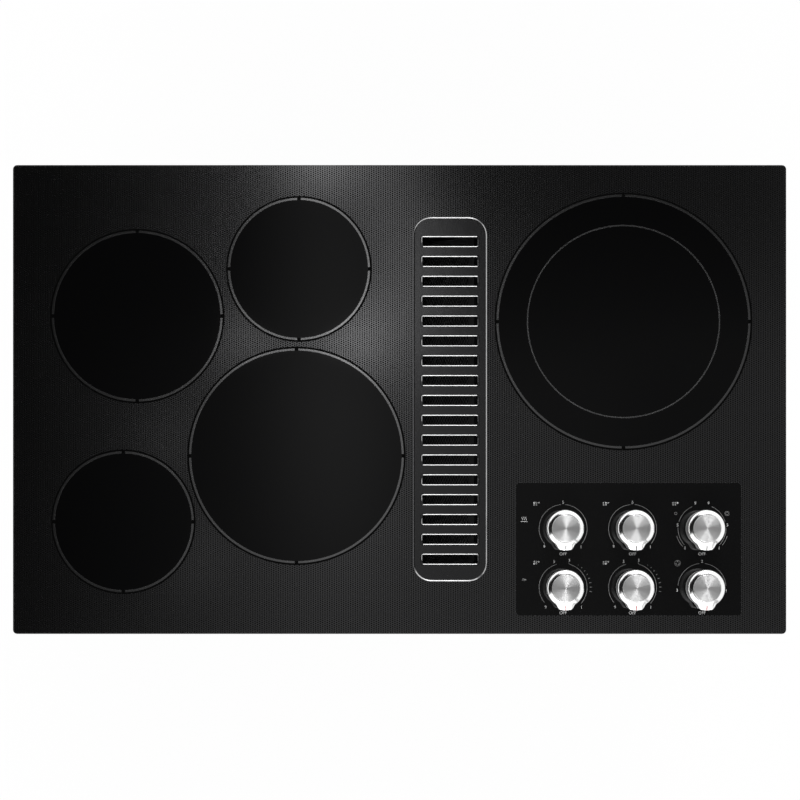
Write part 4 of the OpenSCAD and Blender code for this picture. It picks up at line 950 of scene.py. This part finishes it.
# the rolls are worn bright, but where they face left, along the left edge and at the right ends of the
# slots, they keep the dark enamel as painted shade, for the dim light from the left
past_slot = x - grille_x - SLOT_SIZE[0] / 2
slot_end = past_slot.step(-0.5 * MM, 0.2 * MM) * (grille_high.x - x).step(5.0 * MM, 6.5 * MM)
outside_left_shade = (x - grille_low.x).step(1.2 * MM, 5.0 * MM) * (1 - 0.85 * slot_end)
wear_and_left_shade = on_roll * outside_left_shade * (0.75 + 0.5 * (sag - 0.5) + 0.5 * (pebble - 0.5)).least(1.0)
black = enamel.mix(pebble, (0.122, 0.122, 0.125), (0.15, 0.15, 0.153))
tone = enamel.mix(wear_and_left_shade, black, (0.50, 0.50, 0.50))
rough = 0.105 + 0.03 * pebble + 0.10 * on_roll
relief = enamel.bump(pebble + 1.5 * sag, 0.04 * MM, 0.5)
finish = enamel.surface(base_color=tone, roughness=rough, metallic=0.96, normal=relief)
solid("rolled_grille", parts, finish, "grille", 40, replaces=["vent_grille"])

# %% [markdown]
# ## The grease filter
# Deep in the vent a frame of folded aluminium holds several layers of expanded aluminium mesh. Its strands
# cross in diamonds and catch small glints through the slots. The mesh is one closed sheet whose two faces
# rise and fall in a diamond wave, with finer waves for the layers beneath. Its low places stand for the
# pores and are painted near black as shade. Mesh and frame are toned far darker than bare aluminium: the
# mesh partly as grease and partly as painted shade deep in the vent, the frame as painted shade.

# %% Filter mesh
DIAMOND = (4.2 * MM, 7.0 * MM)
MESH_CELLS = (110, 420)
MESH_WAVE = 1.15 * MM
FINER_WAVES = (2.3, 3.1)
LOWER_SHIFT = 0.31
FILTER_TILT = math.radians(40)

mesh_low, mesh_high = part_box("filter_mesh")
tilt_sin, tilt_cos = math.sin(FILTER_TILT), math.cos(FILTER_TILT)
# a tilted plate w wide and t thick is w cos + t sin across and w sin + t cos high
spread = np.linalg.solve([[tilt_cos, tilt_sin], [tilt_sin, tilt_cos]],
                         [mesh_high.x - mesh_low.x, mesh_high.z - mesh_low.z])
mesh_width, mesh_thick, mesh_length = spread[0], spread[1], mesh_high.y - mesh_low.y
mesh_centre = (mesh_low + mesh_high) / 2


def mesh_sheet():
    """Point (u, v) of a face lies at u across, v along and +-(thickness / 2 - MESH_WAVE (1 - level)) up.
    With p = u / a and q = v / b, where (a, b) is DIAMOND, level is (1 - diamond + finer / 4) / 1.2, kept
    from 0 to 1: diamond = |sin(pi (p + q))| |sin(pi (p - q))| and finer = sin(m pi p + 1) sin(n pi q + 2),
    where (m, n) is FINER_WAVES. The lower face's pattern is shifted by LOWER_SHIFT of a diamond. A narrow
    wall joins the faces all round, and the sheet is tilted by FILTER_TILT."""
    u = np.linspace(-mesh_width / 2, mesh_width / 2, MESH_CELLS[0])
    v = np.linspace(-mesh_length / 2, mesh_length / 2, MESH_CELLS[1])
    u, v = np.meshgrid(u, v, indexing="ij")
    sides, levels = [], []
    for sign, shift in ((-1, LOWER_SHIFT), (1, 0.0)):
        across, along = u / DIAMOND[0] + shift, v / DIAMOND[1] + shift
        diamond = np.abs(np.sin(math.pi * (across + along)) * np.sin(math.pi * (across - along)))
        finer = (np.sin(FINER_WAVES[0] * math.pi * across + 1.0)
                 * np.sin(FINER_WAVES[1] * math.pi * along + 2.0))
        level = np.clip(1 - diamond + 0.25 * finer, 0, 1.2) / 1.2
        sides.append(np.stack([u, v, sign * (mesh_thick / 2 - MESH_WAVE * (1 - level))], -1))
        levels.append(level.ravel())
    rows, columns = MESH_CELLS
    faces = grid_faces(rows, columns, False)
    start = rows * columns
    rim = np.r_[np.arange(columns), np.arange(1, rows) * columns + columns - 1,
                (rows - 1) * columns + np.arange(columns - 2, -1, -1), np.arange(rows - 2, 0, -1) * columns]
    after = np.roll(rim, -1)
    wall = np.stack([rim, after, after + start, rim + start], -1)
    points = np.concatenate([side.reshape(-1, 3) for side in sides])
    x, y, z = points.T
    tilted = np.stack([x * tilt_cos - z * tilt_sin, y, x * tilt_sin + z * tilt_cos], -1)
    tilted += np.array(mesh_centre)
    return tilted, np.concatenate([faces, faces + start, wall]), np.concatenate(levels)


strand = Finish("filter_strand")
*_, at = strand.place()
level = strand.attribute("strand_height")
lay = strand.noise(at, 1300.0, 2.0)
soot = strand.noise(at, 30.0, 3.0)
# painted shade: the low places, which stand for the pores, turn near black, and the metal is toned dark,
# partly as grease and partly as shade deep in the vent
lit = level.step(0.42, 0.80)
metal = strand.mix(soot, (0.24, 0.24, 0.24), (0.10, 0.095, 0.09))
tone = strand.mix(lit, (0.010, 0.010, 0.010), metal)
finish = strand.surface(base_color=tone, roughness=0.26 + 0.2 * lay, metallic=0.55 + 0.4 * lit,
                        normal=strand.bump(lay, 0.15 * MM, 0.8))
points, faces, heights = mesh_sheet()
solid("expanded_mesh", [(points, faces)], finish, "filter", 60,
      attributes={"strand_height": heights}, replaces=["filter_mesh"])

# %% [markdown]
# ## Finishes of the other pieces
# What lies below the counter is plain working hardware, and each kind has its own finish. Galvanised sheet
# shows a pattern of zinc crystals. Turned and rolled steel shows fine lines. Moulded plastic has a faint
# grain, foam has pores and ceramic fibre is felted. One function makes each kind, and the colours and the
# strengths are what differ.

# %% Kinds of finish
def galvanised(name, light, dark, crystal=90.0):
    """Zinc coating: flat crystals of slightly different grey, with fine scratches and dull patches."""
    made = Finish(name)
    *_, at = made.place()
    cells = made.node("ShaderNodeTexVoronoi", {"feature": "F1"}, {"Vector": at, "Scale": crystal}, 1)
    shade = made.split(cells)[0]
    frost = made.noise(at, 1400.0, 2.0)
    patches = made.noise(at, 7.0, 3.0)
    tone = made.mix(0.75 * shade + 0.25 * frost, dark, light)
    return made.surface(base_color=tone, roughness=0.30 + 0.14 * shade + 0.12 * patches, metallic=0.9,
                        normal=made.bump(0.5 * shade + 0.5 * frost, 0.02 * MM, 0.5))


def worked_metal(name, colour, roughness=0.3, lines=(1.0, 1.0, 12.0), tarnish=0.25):
    """Drawn, rolled or turned metal: fine lines that lie along the axis with the smallest scale."""
    made = Finish(name)
    x, y, z, at = made.place()
    drawn = made.noise(made.join(x * lines[0], y * lines[1], z * lines[2]), 320.0, 3.0, 0.6)
    stain = made.noise(at, 26.0, 3.0)
    tone = made.mix(tarnish * stain + 0.3 * drawn, colour, tuple(0.55 * v for v in colour))
    return made.surface(base_color=tone, roughness=roughness + 0.12 * drawn + 0.1 * stain, metallic=1.0,
                        normal=made.bump(drawn, 0.03 * MM, 0.6))


def plastic(name, colour, roughness=0.42, grain=900.0, depth=0.02):
    """Moulded plastic: an even colour with slight flow marks and the fine grain of the mould."""
    made = Finish(name)
    *_, at = made.place()
    flow = made.noise(at, 14.0, 2.0)
    skin = made.noise(at, grain, 3.0)
    tone = made.mix(0.6 * flow + 0.4 * skin, colour, tuple(0.80 * v for v in colour))
    return made.surface(base_color=tone, roughness=roughness + 0.12 * skin, ior=1.5,
                        normal=made.bump(skin, depth * MM, 0.7))


def painted(name, colour, roughness=0.35):
    """Sprayed paint: orange peel, and a little dust in scattered patches."""
    made = Finish(name)
    *_, at = made.place()
    peel = made.noise(at, 260.0, 2.0)
    dust = made.noise(at, 18.0, 4.0).step(0.45, 0.80)
    tone = made.mix(0.4 * dust, colour, tuple(0.5 * v + 0.10 for v in colour))
    return made.surface(base_color=tone, roughness=roughness + 0.2 * dust + 0.05 * peel,
                        coat_weight=0.25 * (1 - dust), coat_roughness=0.15,
                        normal=made.bump(peel, 0.06 * MM, 0.5))


def porous(name, light, dark, scale, depth):
    """Foam or felt: round pores of mixed sizes, painted darker where the bump is lowest, as shade in the
    pores.
    """
    made = Finish(name)
    *_, at = made.place()
    pores = made.node("ShaderNodeTexVoronoi", {"feature": "F1"}, {"Vector": at, "Scale": scale})
    fibre = made.noise(at, 2.2 * scale, 4.0, 0.7)
    tone = made.mix((pores * 0.9 + 0.5 * (1 - fibre)).step(0.2, 1.0), light, dark)
    return made.surface(base_color=tone, roughness=0.85 + 0.1 * fibre,
                        normal=made.bump(fibre - pores, depth * MM, 0.9))


def braided(name, colour, fleck, pitch):
    """Woven sleeve: threads cross in two slanting directions, pitch millimetres apart."""
    made = Finish(name)
    x, y, z, at = made.place()
    k = 2 * math.pi / (pitch * MM)
    weave = ((x + y + z) * k).sin() * ((x - y + z) * k).sin()
    fuzz = made.noise(at, 1800.0, 2.0)
    tone = made.mix((0.5 + 0.5 * weave) * 0.8 + 0.2 * fuzz, fleck, colour)
    return made.surface(base_color=tone, roughness=0.7 + 0.15 * fuzz,
                        normal=made.bump(weave + fuzz, 0.15 * MM, 0.8))


# %% Give each piece its finish
zinc_sheet = galvanised("galvanised_steel", (0.50, 0.51, 0.52), (0.34, 0.35, 0.37))
give(zinc_sheet, "burner_box", "terminal_box", "terminal_cover", "air_chamber", "blower_housing",
     "duct_collar", "clamp_brackets", "switch_bracket", "element_rails")
give(painted("frame_steel", (0.030, 0.030, 0.032), 0.38), "glass_frame")
give(porous("foam_gasket", (0.045, 0.045, 0.045), (0.008, 0.008, 0.008), 900.0, 0.25), "counter_gasket")
give(plastic("grommet_rubber", (0.018, 0.018, 0.018), 0.62, 1300.0, 0.03), "knob_grommets")
give(worked_metal("shaft_steel", (0.62, 0.62, 0.63), 0.24), *["shaft_" + name for name in dials])
give(plastic("cam_plastic", (0.66, 0.60, 0.47), 0.40), *["cam_" + name for name in RING_RADIUS])
give(plastic("switch_plastic", (0.055, 0.045, 0.040), 0.36, 700.0), "infinite_switches")
give(plastic("fan_control_plastic", (0.10, 0.11, 0.13), 0.40, 700.0), "fan_control")
give(worked_metal("nut_brass", (0.72, 0.52, 0.24), 0.26), "switch_nuts")
give(plastic("lamp_lens", (0.55, 0.06, 0.03), 0.15, 500.0, 0.01), "indicator_lamps")
give(galvanised("pan_steel", (0.66, 0.66, 0.65), (0.55, 0.55, 0.54), 260.0),
     *["element_pan_" + name for name in RING_RADIUS])
give(porous("ceramic_fibre", (0.80, 0.77, 0.70), (0.62, 0.58, 0.50), 420.0, 0.35),
     *["element_insulation_" + name for name in RING_RADIUS])
give(worked_metal("heating_ribbon", (0.19, 0.17, 0.16), 0.48, (1.0, 1.0, 4.0), 0.6), "element_coils")
give(porous("limiter_ceramic", (0.78, 0.76, 0.72), (0.68, 0.66, 0.62), 1600.0, 0.05), "element_limiters")
give(worked_metal("spring_steel", (0.34, 0.36, 0.40), 0.26, (1.0, 8.0, 1.0), 0.4), "element_springs")
give(plastic("block_plastic", (0.50, 0.46, 0.38), 0.45, 600.0, 0.03), "terminal_block")
give(braided("wire_sleeve", (0.55, 0.53, 0.50), (0.30, 0.06, 0.04), 1.6), "wiring_harness")
# painted shade: the filter frame is toned far darker than aluminium, for the shade deep in the vent
give(worked_metal("filter_aluminium", (0.13, 0.13, 0.13), 0.42, (1.0, 6.0, 1.0), 0.5), "filter_frame")
give(plastic("cup_plastic", (0.46, 0.47, 0.48), 0.30, 500.0, 0.02), "drain_cup")
give(galvanised("wheel_paint", (0.48, 0.49, 0.50), (0.38, 0.39, 0.41), 160.0), "blower_wheel")
give(worked_metal("rotor_steel", (0.50, 0.50, 0.51), 0.3, (12.0, 1.0, 1.0), 0.4), "motor_rotor")
give(painted("motor_paint", (0.045, 0.047, 0.052), 0.34), "blower_motor")
give(worked_metal("capacitor_can", (0.66, 0.66, 0.67), 0.30, (12.0, 1.0, 1.0), 0.2), "motor_capacitor")
give(worked_metal("zinc_screw", (0.62, 0.60, 0.54), 0.32, (1.0, 1.0, 14.0), 0.3),
     "clamp_screw_left", "clamp_screw_right", "screws")
bare_nodes = [name for name, node in nodes.items() if not node.hide_render
              and not any(slot.material and slot.material.use_nodes for slot in node.material_slots)]
print("nodes without a finish", bare_nodes)

# %% [markdown]
# ## Sizes
# The finished pieces should stay inside the box of the imported model, so both boxes are printed.

# %% Sizes
low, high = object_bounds()
print("CAD box", [round(v, 4) for v in (*cad_low, *cad_high)])
print("visual box", [round(v, 4) for v in (*low, *high)])
